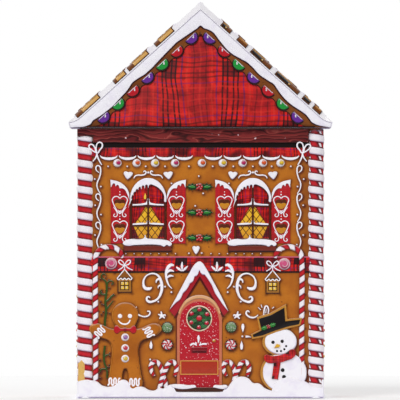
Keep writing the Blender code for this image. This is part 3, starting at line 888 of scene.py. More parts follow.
ARCH_SNOW = arc(0, 119.8, 11, 13.1, 180, 0, 8) + arc(0, 118.2, 10.4, 10.8, 0, 70, 3)
for i in range(8):
    (x, y), _ = arc(0, 118.0, 10.3, 10.9, 84 + 11.8 * i, 180, 1)
    ARCH_SNOW += [(x, y), (x - 1.0, y - 2.2 + 0.4 * math.sin(5 * i), CORNER)]
SHUTTER_SNOW = [
    (22.8, 131.9, CORNER), (17.7, 130.6), (14.5, 128.5), (12, 125), (11.2, 118.8, CORNER),
    (12.1, 121.8), (15, 126.4), (17.2, 126.6, CORNER), (18.4, 128.7), (19.6, 127.8, CORNER),
    (20.6, 129.6), (22.5, 127, CORNER),
]
SILL_SNOW = [
    (-14.5, 94.7), (-11.2, 96), (-4.8, 95.9), (-2.7, 96.6), (-1.8, 98.8, CORNER), (-0.9, 96.7),
    (1.7, 96.2), (9.8, 95.6), (13, 94.6), (14.3, 93.1), (13, 91.7), (11.2, 92.4), (9.6, 91.4),
    (7.6, 92.2), (-8.5, 92.3), (-12.3, 91.9), (-15.3, 93.3),
]


def transom_snow(y, rise):
    """Snow along a transom that climbs the mullion at its inner end."""
    return [(0.6, y + rise, CORNER), (1.2, y + rise * 0.45), (3.2, y + 1.4), (9.4, y + 0.9, CORNER),
            (9.4, y, CORNER), (2.6, y + 0.3), (0.6, y + 0.6, CORNER)]


def at_each(shape, places):
    return [moved(shape, x, y) for x, y in places]


def make_shutter_trim():
    """Piped hearts and curls round cut-out hearts with a white tip."""
    curls = at_each(CURL, HEARTS_AT) + at_each(flipped(CURL), HEARTS_AT)
    dots = [(x, y + rise, size) for x, y in HEARTS_AT for rise, size in ((6.2, 0.5), (7.9, 0.35))]
    return [
        # The hole in each heart is painted dark with shade at its top and lit gold below.
        painted(plate(*at_each(HEART_HOLE, HEARTS_AT), front=1.05, rim=0.1), 92, 40, 18),
        painted(plate(*at_each(HEART_LIGHT, HEARTS_AT), front=1.1, rim=0.1), 204, 136, 36),
        coat(plate(*at_each(HEART_TIP, HEARTS_AT), front=1.2, rim=0.15), icing),
        *iced(
            piping(*at_each(HEART, HEARTS_AT), radius=0.3, closed=True, lift=1.05),
            piping(*curls, radius=0.27, tip=0.7, lift=1.05),
            beads(dots, radius=0.6, height=0.5, lift=0.9),
        ),
    ]


print(f"{len(ARCH_SNOW)} knots in the arch's snow")

# %% [markdown]
# ## The window put together
#
# The parts are joined from the sheet outwards, pane first and snow last. The window is then copied to
# its six places, and the front's left one has a candle flame behind its glass.

# %% The window put together
outer = arch(0, WINDOW_HALF, WINDOW_FOOT, WINDOW_SPRING)
rim = plate(outer, arch(0, 9.7, 96.4, WINDOW_SPRING), front=1.5)
bars = [plate(box(-0.55, 95.8, 0.55, 128.6), front=1.2, rim=0.25)]
bars += [plate(box(-10.2, y - 0.55, 10.2, y + 0.55), front=1.3, rim=0.25) for y in (115.9, 104.2)]
upper, lower = transom_snow(116.2, 4.8), transom_snow(104.5, 3)
snow = [plate(ARCH_SNOW, front=2.2), plate(SILL_SNOW, front=2.5, rim=0.5)]
snow += [plate(SHUTTER_SNOW, flipped(SHUTTER_SNOW), front=1.7, rim=0.2)]
snow += [plate(upper, flipped(upper), lower, flipped(lower), front=1.9, rim=0.2)]
window = gather(
    coat(plate(arch(0, 10.4, 95.6, WINDOW_SPRING), front=0.5, rim=0.1), lit_pane),
    coat(plate(SHUTTER, flipped(SHUTTER), front=0.95), shutter_red),
    # The darker board behind the sill shows below it as a painted shade.
    painted(plate(box(-14.9, 88, 14.1, 91.4), front=1.2, rim=0.3), 58, 18, 18),
    painted(plate(box(-14.6, 88.9, 14, 92), front=1.7, rim=0.4), 118, 44, 34),
    *[painted(part, 80, 32, 22) for part in (rim, *bars)],
    *make_shutter_trim(),
    *[coat(part, icing) for part in snow],
)

print(f"a window of {len(window.data.polygons)} faces")
dress("window", "window_print", window, (LONG_WALLS, ((-WINDOW_AT, 0), (WINDOW_AT, 0))), ON_SHORT)
flame = [(-1.8, 123.9, CORNER), (-1.2, 121.8), (-1.5, 120.2), (-2.3, 120.2), (-2.5, 121.8)]
flame = gather(painted(plate(flame, front=0.9, rim=0.15), 250, 206, 70))
dress("flame", "window_print", flame, ((FRONT,), ((-WINDOW_AT, 0),)))

# %% [markdown]
# ## Icing on the upper storey
#
# Thin icing is piped round the windows: a loose vine beside each pillar, heart pairs with scrolls
# over each window, and bows in the top corners. Curves with a round bevel and narrow tips look like
# icing from a bag.

# %% Vines, bows and heart pairs
VINE = [
    (-61.3, 136.1), (-63.1, 138), (-62.6, 140.2), (-61, 140), (-60.3, 137.5), (-61, 133.4),
    (-62.5, 129.5), (-62.1, 126.3), (-60.5, 123.4),
]
VINE_PITCH = 17.1
BOW = [
    [(0, 0), (-2.7, 1.6), (-4.8, 4.3), (-3.2, 5.3), (-1.1, 3.2), (0, 0), (1.8, 1.9), (3.4, 4.5),
     (2.6, 6.3), (0.8, 6.3), (-0.3, 4.3), (0, 0)],
    [(0, 0), (-0.4, -2.2), (-2.4, -5)],
    [(0, 0), (0.8, -3.1), (2.9, -7.1)],
]
SCROLL = [
    (8.7, 132.7), (7.9, 134), (6.3, 134.6), (3.7, 134.6), (1.8, 135.3), (1.3, 136.4), (2.1, 137.1),
    (2.9, 136.5),
]


def leaning_heart(x, side):
    """A plump heart of icing that leans to one side."""
    wide = [(px * 0.62, py * 0.46, *kind) for px, py, *kind in HEART]
    return [(x + px - side * 0.12 * py, 134.4 + py + side * 0.1 * px, *kind) for px, py, *kind in wide]


vines = [moved(VINE, 0, -VINE_PITCH * i) for i in range(3)]
vines += [flipped(vine, about=-1.0) for vine in vines]
over_windows = (-WINDOW_AT, WINDOW_AT)
scrolls = [moved(shape, x) for x in over_windows for shape in (SCROLL, flipped(SCROLL))]
bows = [moved(stroke, -62.6, 147.9) for stroke in BOW]
bows += [flipped(bow, about=-0.45) for bow in bows]
hearts = [leaning_heart(x + side * 12.2, side) for x in over_windows for side in (-1, 1)]
hearts.append(moved(HEART, -2.7, 89.3, 0.5))
piped = iced(
    piping(*vines, *scrolls, radius=0.42, tip=0.6, lift=0.1),
    piping(*bows, radius=0.46, tip=0.7, lift=1.7),
    beads([(x, 136.2) for x in over_windows], radius=0.7),
)
upper_icing = gather(*piped, coat(pillow(plate(*hearts, front=1.5, rim=0.4), 0.3, 5), icing))

dress("upper_icing", "icing_print", upper_icing, ON_LONG)
print("vines and bows piped")

# %% [markdown]
# ## Holly
#
# A sprig is two dark prickly leaves, each with a lighter middle that is a painted shine, and six
# berries. It hangs three times between the windows, and once more on the snowman's hat.

# %% Holly
HOLLY_LEAF = corners(
    (1.6, -0.4), (2.6, -1.9), (3.6, -1.3), (4.6, -2.3), (5.6, -1.3), (6.8, -1.7), (6.6, -0.5),
    (8.1, 0.1), (6.8, 0.8), (6.6, 1.9), (5.3, 1.4), (4.3, 2.4), (3.4, 1.5), (2.2, 1.9), (1.5, 0.7),
)
LEAF_SHINE = [(2.6, -0.3), (4.2, -0.8), (6, -0.4), (6.9, 0.1), (5.6, 0.6), (4, 0.9)]
BERRIES = ((-1.5, 0.9), (0.3, 1.2), (1.4, 0), (-0.2, -0.3), (-1.3, -1.1), (0.7, -1.4))


def make_holly(size=1.0, leaf_hue=colour(18, 66, 28)):
    leaf, shine = (moved(shape, size=size) for shape in (HOLLY_LEAF, LEAF_SHINE))
    berries = [(x * size, y * size) for x, y in BERRIES]
    glints = [(x - 0.25 * size, y + 0.35 * size) for x, y in berries[:4]]
    return gather(
        coat(plate(leaf, flipped(leaf), front=0.9, rim=0.15), enamel, leaf_hue),
        painted(pillow(plate(shine, flipped(shine), front=1.6, rim=0.2), 0.3, 4), 52, 138, 54),
        painted(beads([(0, 0)], radius=2.3 * size, height=0.9), 90, 16, 26),
        painted(beads(berries, radius=0.95 * size, height=1.7), 208, 44, 54),
        coat(beads(glints, radius=0.28 * size, height=1.9), enamel, WHITE),
    )


dress("holly", "leaf_print", make_holly(), (LONG_WALLS, [(-0.6, y) for y in (127.5, 112, 96.7)]))
print("holly hung between the windows")

# %% [markdown]
# ## Candy canes
#
# A tall striped cane stands against each pillar and bends over under the window, and small pairs
# cross in the snow. A cane is one round bevelled curve. Its stripes follow the curve, so each vertex
# keeps how far along the path it is.

# %% Canes
def mark_run(obj, path):
    """How far along a path each vertex is, how far across it, and how far out of the sheet."""
    points = [Vector(point[:2]) for point in path]
    steps = [(b - a).length for a, b in zip(points, points[1:])]
    runs = []
    for vertex in obj.data.vertices:
        here = Vector((vertex.co.x / MM, vertex.co.y / MM))
        best, gone = (1e9, 0.0, 0.0), 0.0
        for a, b, step in zip(points, points[1:], steps):
            along = (b - a) / step
            t = min(max((here - a).dot(along), 0.0), step)
            off = here - a - along * t
            if off.length < best[0]:
                best = (off.length, gone + t, along.cross(off))
            gone += step
        runs.append((best[1], best[2], vertex.co.z / MM))
    return mark(obj, "run", runs)


def make_cane(path, radius, material, lift):
    cane = piping(path, radius=radius, tip=0.96, squash=0.85, lift=lift, steps=5)
    return coat(mark_run(cane, path), material)


def make_tall_cane(side, top=84.6, radius_x=8.0, radius_y=6.8):
    """A straight stem whose crook bends to one side."""
    crook = arc(side * radius_x, top, -side * radius_x, radius_y, 0, 180, 8)
    path = [(0, 5), (0, top / 2)] + crook[:-1] + [(*crook[-1], 0.55)]
    return gather(make_cane(path, 1.6, cane_stripes, 0.6))


CROSSED = [
    [(2.8, 3.4), (1.5, 6.6), (1, 9.4), (-0.4, 13.9), (-1.5, 17.8), (-2.9, 20.6), (-5.2, 22),
     (-7.4, 20.6), (-7.7, 17.2), (-6, 13.3, 0.7)],
    [(-3.6, 3.4), (-2.4, 6.6), (-1.5, 10), (-0.2, 14.5), (1.5, 17.8), (2.6, 20.6), (4.9, 22),
     (7.1, 20.6), (7.7, 17.2), (6.5, 13.3, 0.7)],
]
for side, label in ((-1, "left_cane"), (1, "right_cane")):
    dress(label, "candy_print", make_tall_cane(-side), (LONG_WALLS, ((-1.1 + side * 62.2, 0),)))
    dress(label, "candy_print", make_tall_cane(-side, 76.0, 5.0, 5.0), (SHORT_WALLS, ((side * 23.4, 0),)))
crossed = [make_cane(path, 1.35, small_cane_stripes, 0.3 + 0.8 * i) for i, path in enumerate(CROSSED)]
crossed_places = ((FRONT,), ((-22.2, 0), (21.6, 0))), ((REAR,), ((-25, 0), (25, 0))), ON_SHORT
dress("crossed_canes", "candy_print", gather(*crossed), *crossed_places)
print("eight tall canes and six crossed pairs")

# %% [markdown]
# ## Lanterns and round sweets
#
# A biscuit lantern with four lit panes hangs from an icing bow below each end of the storey band,
# beside a pink swirled sweet. Peppermints are pinwheels and sugared sweets carry small grains, and
# both are domes on a crimped dark edge.

# %% Lanterns and round sweets
LOOPS = [(0, 0), (-1.4, 2.2), (-3.2, 2.8), (-3.5, 1.6), (0, -0.2), (3.4, 1.5), (3, 2.8), (1.4, 2.2), (0, 0)]
TAILS = [(0, 0), (-1.6, -1.8), (-3.9, -3.2)], [(0, 0), (2, -1.8), (4.8, -3.1)]
LANTERN_BOW = [moved(stroke, 0, 12.6) for stroke in (LOOPS, *TAILS)]

panes = [box(x - 0.95, y - 0.95, x + 0.95, y + 0.95) for x in (-1.25, 1.25) for y in (-1.15, 1.4)]
glints = [(pane[0][0] + 0.6, pane[0][1] + 1.2) for pane in panes]
eaves = [(-4.6 + 1.15 * i, 3.6 + 0.9 * (i % 2 == 0)) for i in range(9)]
ropes = [(-4.6, 4.4), (0, 9.9, CORNER), (4.6, 4.4)], eaves
lantern = gather(
    painted(plate(box(-4.4, -4.3, 4.3, 4.3), front=1.1, rim=0.2), 72, 34, 18),
    painted(plate(box(-3.7, -3.6, 3.9, 4.1), front=1.35, rim=0.2), 168, 112, 40),
    painted(plate(corners((-4.2, 5), (0, 9.6), (4.2, 5)), front=1.1, rim=0.2), 140, 84, 30),
    painted(plate(box(-2.7, -2.6, 2.7, 2.9), front=1.5, rim=0.15), 72, 34, 18),
    painted(plate(*panes, front=1.65, rim=0.15), 240, 196, 70),
    coat(beads(glints, radius=0.4, height=0.4, lift=1.55), enamel, WHITE),
    *iced(
        piping(*ropes, radius=0.36, tip=0.8, lift=1.2),
        piping(*LANTERN_BOW, [(0, 12.6), (0, 9.8)], radius=0.36, tip=0.7, lift=0.9),
    ),
)


def make_swirl(hue, lift=0.6):
    """A round sweet with a painted shadow, a pale rim and a swirl piped on top."""
    coil = [(0.23 * i * math.cos(0.75 * i), 0.23 * i * math.sin(0.75 * i)) for i in range(12)]
    return gather(
        # A dark dome set down and to the right is a painted shadow under the sweet.
        painted(beads([(0.3, -0.35)], radius=3.7, height=0.5, lift=lift, slices=20), 84, 24, 40),
        coat(beads([(0, 0)], radius=3.7, height=1.3, lift=lift, slices=20), enamel, pale(hue)),
        coat(beads([(0, 0)], radius=3.15, height=1.9, lift=lift, slices=20), enamel, hue),
        coat(piping(coil, radius=0.3, lift=lift + 1.55), enamel, pale(hue)),
    )


SWEET_RADIUS = 3.3


def make_crimped_dome(hue, height, edge):
    radii = [SWEET_RADIUS * share for share in (0.98, 1.11)] * 12
    rim = [arc(0, 0, r, r, 15 * i, 360, 1)[0] for i, r in enumerate(radii)]
    dome = beads([(0, 0)], radius=SWEET_RADIUS, height=height, slices=24)
    return [coat(plate(rim, front=0.6, rim=0.15), enamel, edge), coat(dome, enamel, hue)]


def make_peppermint():
    rays = ((0.35, 0), (2, 0.36), (3.15, 0.8), (3.15, 1.06), (2, 0.7))
    turns = [math.pi * i / 3 for i in range(6)]
    sectors = [[(r * math.cos(turn + a), r * math.sin(turn + a)) for r, a in rays] for turn in turns]
    dome = make_crimped_dome(WHITE, 1.5, DARK)
    return gather(*dome, coat(plate(*sectors, front=1.6, rim=0.1), enamel, RED))


def make_sugared(hue):
    draw = random.Random(5)
    grains = []
    for _ in range(46):
        r, a = SWEET_RADIUS * 0.88 * math.sqrt(draw.random()), draw.uniform(0, 2 * math.pi)
        lift = 1.9 * math.sqrt(1 - (r / SWEET_RADIUS) ** 2) - 0.15
        grain = beads([(r * math.cos(a), r * math.sin(a))], radius=0.25, height=0.25, lift=lift, slices=6)
        grains.append(coat(grain, enamel, pale(hue)))
    return gather(*make_crimped_dome(hue, 1.9, colour(50, 50, 28)), *grains)


dress("lantern", "wood_print", lantern, (LONG_WALLS, ((-45.8, 67.8), (43.6, 67.2))))
swirl = make_swirl(colour(206, 84, 128))
dress("swirled_sweet", "sweet_print", swirl, (LONG_WALLS, ((-54, 81.2), (50.6, 80.9))))
peppermint_places = (
    ((FRONT,), ((-20.1, 32.2), (18.3, 32.1))), ((REAR,), ((-26, 51), (26, 51))),
    (SHORT_WALLS, ((-14, 57), (14, 57))),
)
sugared_places = (
    ((FRONT,), ((-20.1, 42.5), (18.5, 42.8))), ((REAR,), ((-27, 30), (27, 30))),
    (SHORT_WALLS, ((-15, 43), (15, 43))),
)
dress("peppermint", "sweet_print", make_peppermint(), *peppermint_places)
dress("sugared_sweet", "sweet_print", make_sugared(colour(106, 142, 92)), *sugared_places)
print("lanterns and sweets hung")

# %% [markdown]
# ## Scrollwork beside the door
#
# Between the lanterns and the door the icing is piped in C scrolls, leaves and flowers. The right
# half mirrors the left about the door's middle. A knot's third value is the stroke's width there,
# which swells and thins as the bag is squeezed.

# %% Lower scrollwork
DOOR_X = -0.6
HALF_SCROLLS = [
    [(-29.4, 66.8, 0.5), (-31, 66, 1.2), (-33.4, 66.4, 1.25), (-34.5, 69.1, 0.8), (-33.9, 72.2, 0.6),
     (-31.7, 74.5, 0.55), (-28, 75.1, 0.6), (-25.3, 73.6, 0.8), (-23.8, 70.4, 1.1),
     (-23.3, 66.8, 1.15), (-24, 63.2, 0.95), (-25.8, 60, 0.75), (-28.5, 58.4, 0.8),
     (-31.2, 58.2, 1), (-32.5, 59.8, 0.8), (-31.7, 61.2, 0.6), (-30.4, 60.5, 0.4)],
    [(-16.1, 80, 0.6), (-17.6, 80.4, 1.1), (-19, 79.6, 1.3), (-20.4, 77.2, 1.1), (-20.8, 74, 0.8),
     (-20.1, 70.4, 0.7), (-18.8, 67.7, 0.5), (-17.2, 66.1, 0.25)],
    [(-20.2, 75.6, 0.5), (-18.3, 77, 0.95), (-16, 76.5, 0.4)], [(-20.6, 72.2, 0.5),
                                                                    (-18.5, 73.8, 0.9),
                                                                    (-16.3, 73.6, 0.35)],
    [(-24.6, 72, 0.9), (-26.4, 71.2, 0.7), (-26.8, 69.6, 0.3)], [(-23.4, 68.4, 0.9),
                                                                   (-25.4, 67.4, 0.5), (-25.6, 66.2, 0.2)],
    [(-11.4, 76.6, 0.3), (-13, 77.9, 1), (-14.6, 79.2, 0.4)], [(-11, 76.8, 0.3),
                                                                   (-11.2, 79.6, 1), (-11.1, 82.2, 0.4)],
    [(-10.7, 76.6, 0.3), (-9.4, 78, 0.95), (-7.8, 79.6, 0.4)],
]
PETALS = ((-23.8, 52.3), (-25.6, 50.6), (-24.8, 47.9), (-21.6, 48.2), (-21.2, 50.4))
HALF_SCROLLS += [[(-23.3, 49.6, 0.9), (x, y, 0.4)] for x, y in PETALS]
LEFT_FLOURISH = [
    [(-41.6, 55.6, 0.5), (-40.2, 53.4, 1.4), (-38.8, 51.2, 1), (-35.7, 49.5, 0.55), (-33, 49.2, 0.6),
     (-30.8, 50.5, 0.6), (-30.7, 52.2, 0.6), (-32.2, 52.4, 0.5)],
    [(-39.4, 54.2, 0.5), (-38.4, 55.2, 0.15)],
]
RIGHT_FLOURISH = [
    [(34.8, 50.2, 0.35), (33.2, 48.9, 0.6), (31, 48.6, 0.7), (28.6, 49.6, 0.7), (27.6, 51.2, 0.7),
     (28.5, 52.6, 0.6), (29.6, 51.8, 0.4)],
    [(38.2, 50, 0.5), (38.6, 53.6, 0.6), (39.8, 55.6, 0.6), (41, 53.8, 0.6), (40.9, 51, 0.5)],
    [(39.4, 51.2, 0.4), (39.7, 54, 0.2)], [(36.4, 53.2, 0.3), (34.9, 54.7, 0.3)], [(37.2, 54.6, 0.3),
                                                                                     (36.6, 56.4, 0.3)],
    [(43.2, 54, 0.3), (44.4, 55, 0.3)], [(27.2, 37.1, 0.9), (28.6, 37.1, 0.8), (30.6, 36.8, 0.2)],
]
HALF_DOTS = [(-21.4, 67.2), (-17.6, 63.9), (-25.5, 58.2), (-21.4, 49.8)]


def mirrored(strokes):
    return strokes + [flipped(stroke, about=DOOR_X) for stroke in strokes]


def icing_drop(x, y, length):
    """A drop of icing with its point up, or down where the length is negative."""
    half, side = length / 2, 0.85
    return [(x, y + half, CORNER), (x + side, y - half * 0.5), (x, y - half), (x - side, y - half * 0.5)]


def make_scrollwork(flourishes, single_dots, drops):
    dots = HALF_DOTS + flipped(HALF_DOTS, about=DOOR_X) + single_dots
    return gather(*iced(
        piping(*mirrored(HALF_SCROLLS), radius=0.82, lift=0.75),
        piping(*flourishes, radius=0.75, lift=0.3),
        beads(dots, radius=0.6, height=0.8),
        *[plate(icing_drop(*drop), front=0.9, rim=0.3) for drop in drops],
    ))


front_dots = [(-41.6, 72.4), (25.3, 37.2), (-30.4, 23.2)]
front_drops = ((-29.9, 32.3, 5.2), (25.6, 42.2, -5.4), (24.8, 32, 5.6))
front_scrollwork = make_scrollwork(LEFT_FLOURISH + RIGHT_FLOURISH, front_dots, front_drops)
dress("scrollwork", "icing_print", front_scrollwork, ON_FRONT)
dress("scrollwork", "icing_print", make_scrollwork(mirrored(LEFT_FLOURISH), [], ()), ((REAR,), MIDDLE))
print(f"{len(mirrored(HALF_SCROLLS))} strokes of scrollwork on each long wall")

# %% [markdown]
# ## The green vine
#
# A dark green vine climbs the front's left edge, behind the gingerbread man's hand, with seeds all
# round it. It is piped like the icing, in thicker strokes. The seeds have no order, so they are drawn
# at random from a fixed seed, which gives the same places each time.

# %% The green vine
GREEN_VINE = [
    [(-57.6, 38, 1), (-57.8, 45, 1.1), (-57, 53.2, 1.1), (-57.5, 58.2, 1), (-56.6, 67.7, 0.9),
     (-57.7, 70.9, 0.75), (-59.4, 72.2, 0.6), (-59.8, 74, 0.6), (-58.4, 75, 0.5), (-57.2, 74, 0.4)],
    [(-56.6, 68, 0.8), (-55.6, 70.2, 0.7), (-53.6, 70.6, 0.6), (-52.7, 69.2, 0.5), (-53.8, 68.3, 0.4)],
    [(-57.4, 58, 0.9), (-55.2, 59.6, 0.9), (-53.4, 61.6, 0.9), (-51.7, 62.2, 0.4)],
    [(-57, 53.4, 0.9), (-52.6, 58.8, 0.4)],
    [(-57.1, 62.6, 0.8), (-59.4, 62.6, 0.7), (-60.6, 64.2, 0.6), (-59.6, 65.4, 0.4)],
    [(-57.7, 31.5, 0.9), (-58.3, 26.1, 1), (-58.1, 21.6, 0.9), (-56.6, 17.1, 0.8), (-56.4, 12, 0.7)],
    [(-58.3, 25, 0.7), (-56.4, 26, 0.7), (-54.8, 26.4, 0.3)], [(-57, 17.4, 0.7),
                                                                   (-59.6, 17.4, 0.7), (-60.9, 15.4, 0.4)],
]
draw = random.Random(11)
seeds = [(draw.uniform(-61.4, -52), draw.uniform(50, 77)) for _ in range(22)]
seeds += [(draw.uniform(-61.4, -54.6), draw.uniform(11, 30)) for _ in range(12)]
vine = painted(piping(*GREEN_VINE, radius=0.66, lift=0.1), 54, 82, 30)
seed_beads = painted(beads(seeds, radius=0.45, height=0.5), 44, 36, 20)
dress("green_vine", "leaf_print", gather(vine, seed_beads), ON_FRONT)
print(f"{len(seeds)} seeds round the vine")

# %% [markdown]
# ## The door
#
# The front door is arched red boarding in a pale ring, under a small gable whose red verge boards
# carry a thick fall of snow with ragged drips. Each layer is a plate further out than the last.

# %% The door and its gable
DOOR_HALF = 12.5
GABLE_SNOW = [
    (-0.4, 82.6), (-2.7, 81.6), (-6.6, 75.9), (-12.1, 65.7), (-17.4, 55.8), (-19, 53, CORNER),
    (-14.5, 57.8), (-12.6, 59.2), (-10.6, 63.2, CORNER), (-8.3, 65.6), (-6.4, 69.2, CORNER),
    (-4.8, 70.2), (-3.6, 73.4, CORNER), (-2, 74), (-0.8, 77.4, CORNER), (1.3, 74.4),
    (2.4, 74.6, CORNER), (5.4, 70.4), (6.9, 68, CORNER), (9.2, 62.6), (10.8, 60.2, CORNER),
    (15, 54.4), (17, 52.2, CORNER), (12.9, 60.9), (7.4, 71.2), (2.8, 79.4), (1.2, 81.6),
]
VERGE_BOARDS = corners((-18.9, 52.9), (-0.4, 79.5), (16.9, 52.5), (14.2, 49.6), (-0.4, 73.6), (-15.6, 49.2))
UNDER_BOARDS = corners((-16, 48.9), (-0.4, 73.9), (14.6, 49.3), (13.4, 48.6), (-0.4, 71.2), (-14.8, 48.2))
DOUGH_GABLE = corners((-17.4, 51), (-0.3, 77), (16, 51.6), (13, 47), (-13.8, 47))

x = DOOR_X
crown = arc(x, 48.4, DOOR_HALF + 0.1, DOOR_HALF + 0.1, 12, 168, 8)
door = gather(
    painted(plate(DOUGH_GABLE, front=0.7, rim=0.2), 160, 88, 26),
    painted(plate(arch(x - 0.3, DOOR_HALF + 1.6, 5.0, 48.2), front=0.75, rim=0.2), 112, 46, 24),
    painted(plate(arch(x, DOOR_HALF + 1.1, 5.0, 48.4), front=1.0), 206, 118, 86),
    painted(piping(crown, radius=1.2, squash=0.5, lift=1.0), 226, 170, 122),
    coat(plate(arch(x, DOOR_HALF - 0.5, 5.2, 46.4), front=1.2, rim=0.3), door_red),
    painted(plate(UNDER_BOARDS, front=1.1, rim=0.2), 92, 24, 20),
    painted(plate(VERGE_BOARDS, front=1.8), 170, 26, 40),
    coat(pillow(plate(GABLE_SNOW, front=2.9, rim=0.5), 0.35, 3), icing),
)

dress("door", "candy_print", door, ON_FRONT)
print("door hung")

# %% [markdown]
# ## Wreath and door fittings
#
# The door has a wreath of overlapping leaves in three greens, a knocker of icing, a letter slot, a
# bare plate with a gilt edge, and a knob. The leaves are one shape set round two circles, each a hair
# further out than the last, so that no two faces coincide.

# %% Wreath and door fittings
WREATH_LEAF = corners(
    (0, 0.9), (1, 1.3), (1.9, 0.4), (1.4, -0.6), (0.4, -1.2), (-1, -0.9), (-1.7, 0.2), (-1, 1.2)
)

parts = [painted(piping(oval(0, 0, 7.4, steps=10), radius=0.42, closed=True, lift=1.4), 236, 214, 186)]
parts.append(painted(plate(oval(0, 0, 7.1, steps=10), front=1.5, rim=0.2), 70, 22, 20))
for count, spread, turn in ((12, 5.6, 0), (8, 3.3, 22.5)):
    for i, (x, y) in enumerate(arc(0, 0, spread, spread, turn, turn + 360, count)[:-1]):
        leaf = plate(moved(WREATH_LEAF, x, y), front=1.9 + 0.04 * i, rim=0.2)
        parts.append(painted(leaf, *((36, 88, 46), (58, 116, 66), (26, 66, 34))[i % 3]))
berries = arc(0, 0, 5.4, 5.4, 28, 388, 6)[:-1]
glints = [(x - 0.3, y + 0.5) for x, y in berries]
wreath = gather(
    *parts,
    painted(beads(berries, radius=1.35, height=1.0, lift=1.9), 206, 34, 62),
    coat(beads(glints, radius=0.35, height=0.4, lift=2.6), enamel, WHITE),
    painted(beads([(0, 0)], radius=1.8, height=1.1, lift=1.9), 206, 36, 52),
)

x, face = DOOR_X, 1.1
knocker = [
    [(x - 0.6, 38.0, 0.4), (x - 0.6, 36.4, 1.1), (x - 0.6, 34.6, 0.6), (x - 0.7, 33.4, 0.3)],
    [(x - 5.6, 31.8, 0.7), (x - 4.0, 32.8, 0.7), (x - 1.6, 31.9, 0.5)], [(x - 2.6, 33.8, 0.3),
                                                                         (x - 1.8, 32.8, 0.6)],
    [(x + 4.4, 32.6, 0.7), (x + 2.6, 32.7, 0.7), (x - 0.2, 32.0, 0.5)], [(x + 0.8, 33.9, 0.3),
                                                                         (x + 0.4, 32.9, 0.6)],
]
gilt_edge = box(-12.2, 14.1, 10.8, 22.7), box(-11.65, 14.65, 10.25, 22.15)
specks = [(-10.6, 33, 0.3), (-8.8, 30.4, 0.4), (7.4, 30), (6.2, 36.8, 0.3), (8.6, 37.6), (-9.6, 38.4)]
fittings = gather(
    *iced(piping(*knocker, radius=0.8, lift=face + 0.3)),
    painted(plate(box(-5.6, 27.3, 4, 30.6), front=1.6, rim=0.3), 134, 24, 36),
    painted(plate(box(-4.8, 27.4, 3.4, 28.6), front=1.7, rim=0.1), 84, 14, 22),
    painted(plate(box(-12, 14.3, 10.6, 22.5), front=1.4, rim=0.2), 176, 54, 34),
    painted(plate(*gilt_edge, front=1.65, rim=0.1), 224, 160, 72),
    painted(beads([(8.1, 34.6)], radius=1.1, height=1.2, lift=face), 216, 150, 60),
    # A painted glint on the knob.
    coat(beads([(7.9, 35)], radius=0.4, height=0.5, lift=face + 0.9), enamel, WHITE),
    coat(beads(specks, radius=0.35, height=0.3, lift=face), icing),
)

dress("wreath", "leaf_print", wreath, ((FRONT,), ((-0.8, 48.1),)))
dress("door_fittings", "gold_print", fittings, ON_FRONT)
print("wreath and fittings on the door")

# %% [markdown]
# ## Fir biscuits
#
# The other walls carry biscuits cut like fir trees, iced green, with piped garlands and beads. The
# outline is half a tree, mirrored, and a pillow rounds both the biscuit and its icing.

# %% Fir biscuits
FIR_HALF = [
    (0, 62, CORNER), (2.4, 55.5), (6.4, 49.2, CORNER), (3.8, 49.8), (5.6, 43.5), (9.8, 37.2, CORNER),
    (6, 38.2), (8.4, 31.5), (13.2, 24.6, CORNER), (7, 23.4), (2.2, 23.8, CORNER),
    (2.2, 12, CORNER), (0, 12, CORNER),
]
GARLANDS = ((47.5, 3.2), (37, 5.4), (27.5, 8))

outline = both_sides(FIR_HALF)
inner = [(x * 0.84, 25.2 + (y - 23.8) * 0.93, *kind) for x, y, *kind in outline if y > 20]
ropes = [[(-w, y + 1.6), (-w / 2, y), (w / 2, y - 0.2), (w, y + 1.4)] for y, w in GARLANDS]
parts = [
    coat(pillow(plate(outline, front=1.5, rim=0.4)), golden_dough),
    painted(pillow(plate(inner, front=2.2, rim=0.5), rounds=5), 40, 104, 54),
    *iced(piping(*ropes, radius=0.6, tip=0.7, lift=2.3)),
]
for (y, w), hue in zip(GARLANDS, HUES):
    baubles = [(-w * 0.5, y + 3.4), (w * 0.45, y + 3.2), (0.0, y - 3.0)]
    parts.append(coat(beads(baubles, radius=1.1, height=1.0, lift=2.1), enamel, hue))
parts.append(coat(beads([(0, 61)], radius=1.7, height=1.4, lift=1.6), enamel, HUES[2]))
fir = gather(*parts)

dress("fir", "leaf_print", fir, ((REAR,), ((-46, 0), (46, 0))), ON_SHORT)
print("four fir biscuits")

# %% [markdown]
# ## The gingerbread man
#
# A golden biscuit with a browner body, white eyes and smile, a red bow tie and three sweets for
# buttons. Half of the outline is drawn and mirrored. The loops of icing at the wrists and ankles
# swing to one side and then the other between two points.

# %% The gingerbread man
MAN_HALF = [
    (0, 57.8), (5.6, 55.8), (8.1, 50), (6.8, 45.2), (5.8, 42.4), (9.4, 42.2), (14.2, 44.2),
    (18.6, 45.2), (22.2, 42.4), (20.6, 38.9), (15, 36.2), (10.2, 34.2), (8.4, 31.4), (8.5, 23),
    (9.6, 15), (10.3, 7), (8, 4.6), (3.2, 4.8), (1.8, 8), (1.8, 14.8), (0, 17.8),
]
BOW_TIE_HALF = [
    (0, 42.6), (2.6, 42.2), (5.4, 43.9), (6.7, 42.2), (6.4, 39.6), (4.8, 38.8), (2.4, 40.4), (0, 40.2)
]
SMILE = [(-4.2, 47), (-2.6, 45.3), (-0.3, 44.6), (1.9, 45.3), (3.1, 47.3)]
CUFFS = (
    ((-18, 37), (-12.6, 42.9)), ((12.2, 43.2), (16.2, 36.4)), ((-11, 10), (-2.6, 9.8)),
    ((1.6, 9.6), (9.6, 9.6)),
)
BUTTONS = ((36.7, colour(158, 112, 168)), (30.2, colour(204, 60, 76)), (23.8, colour(222, 188, 66)))


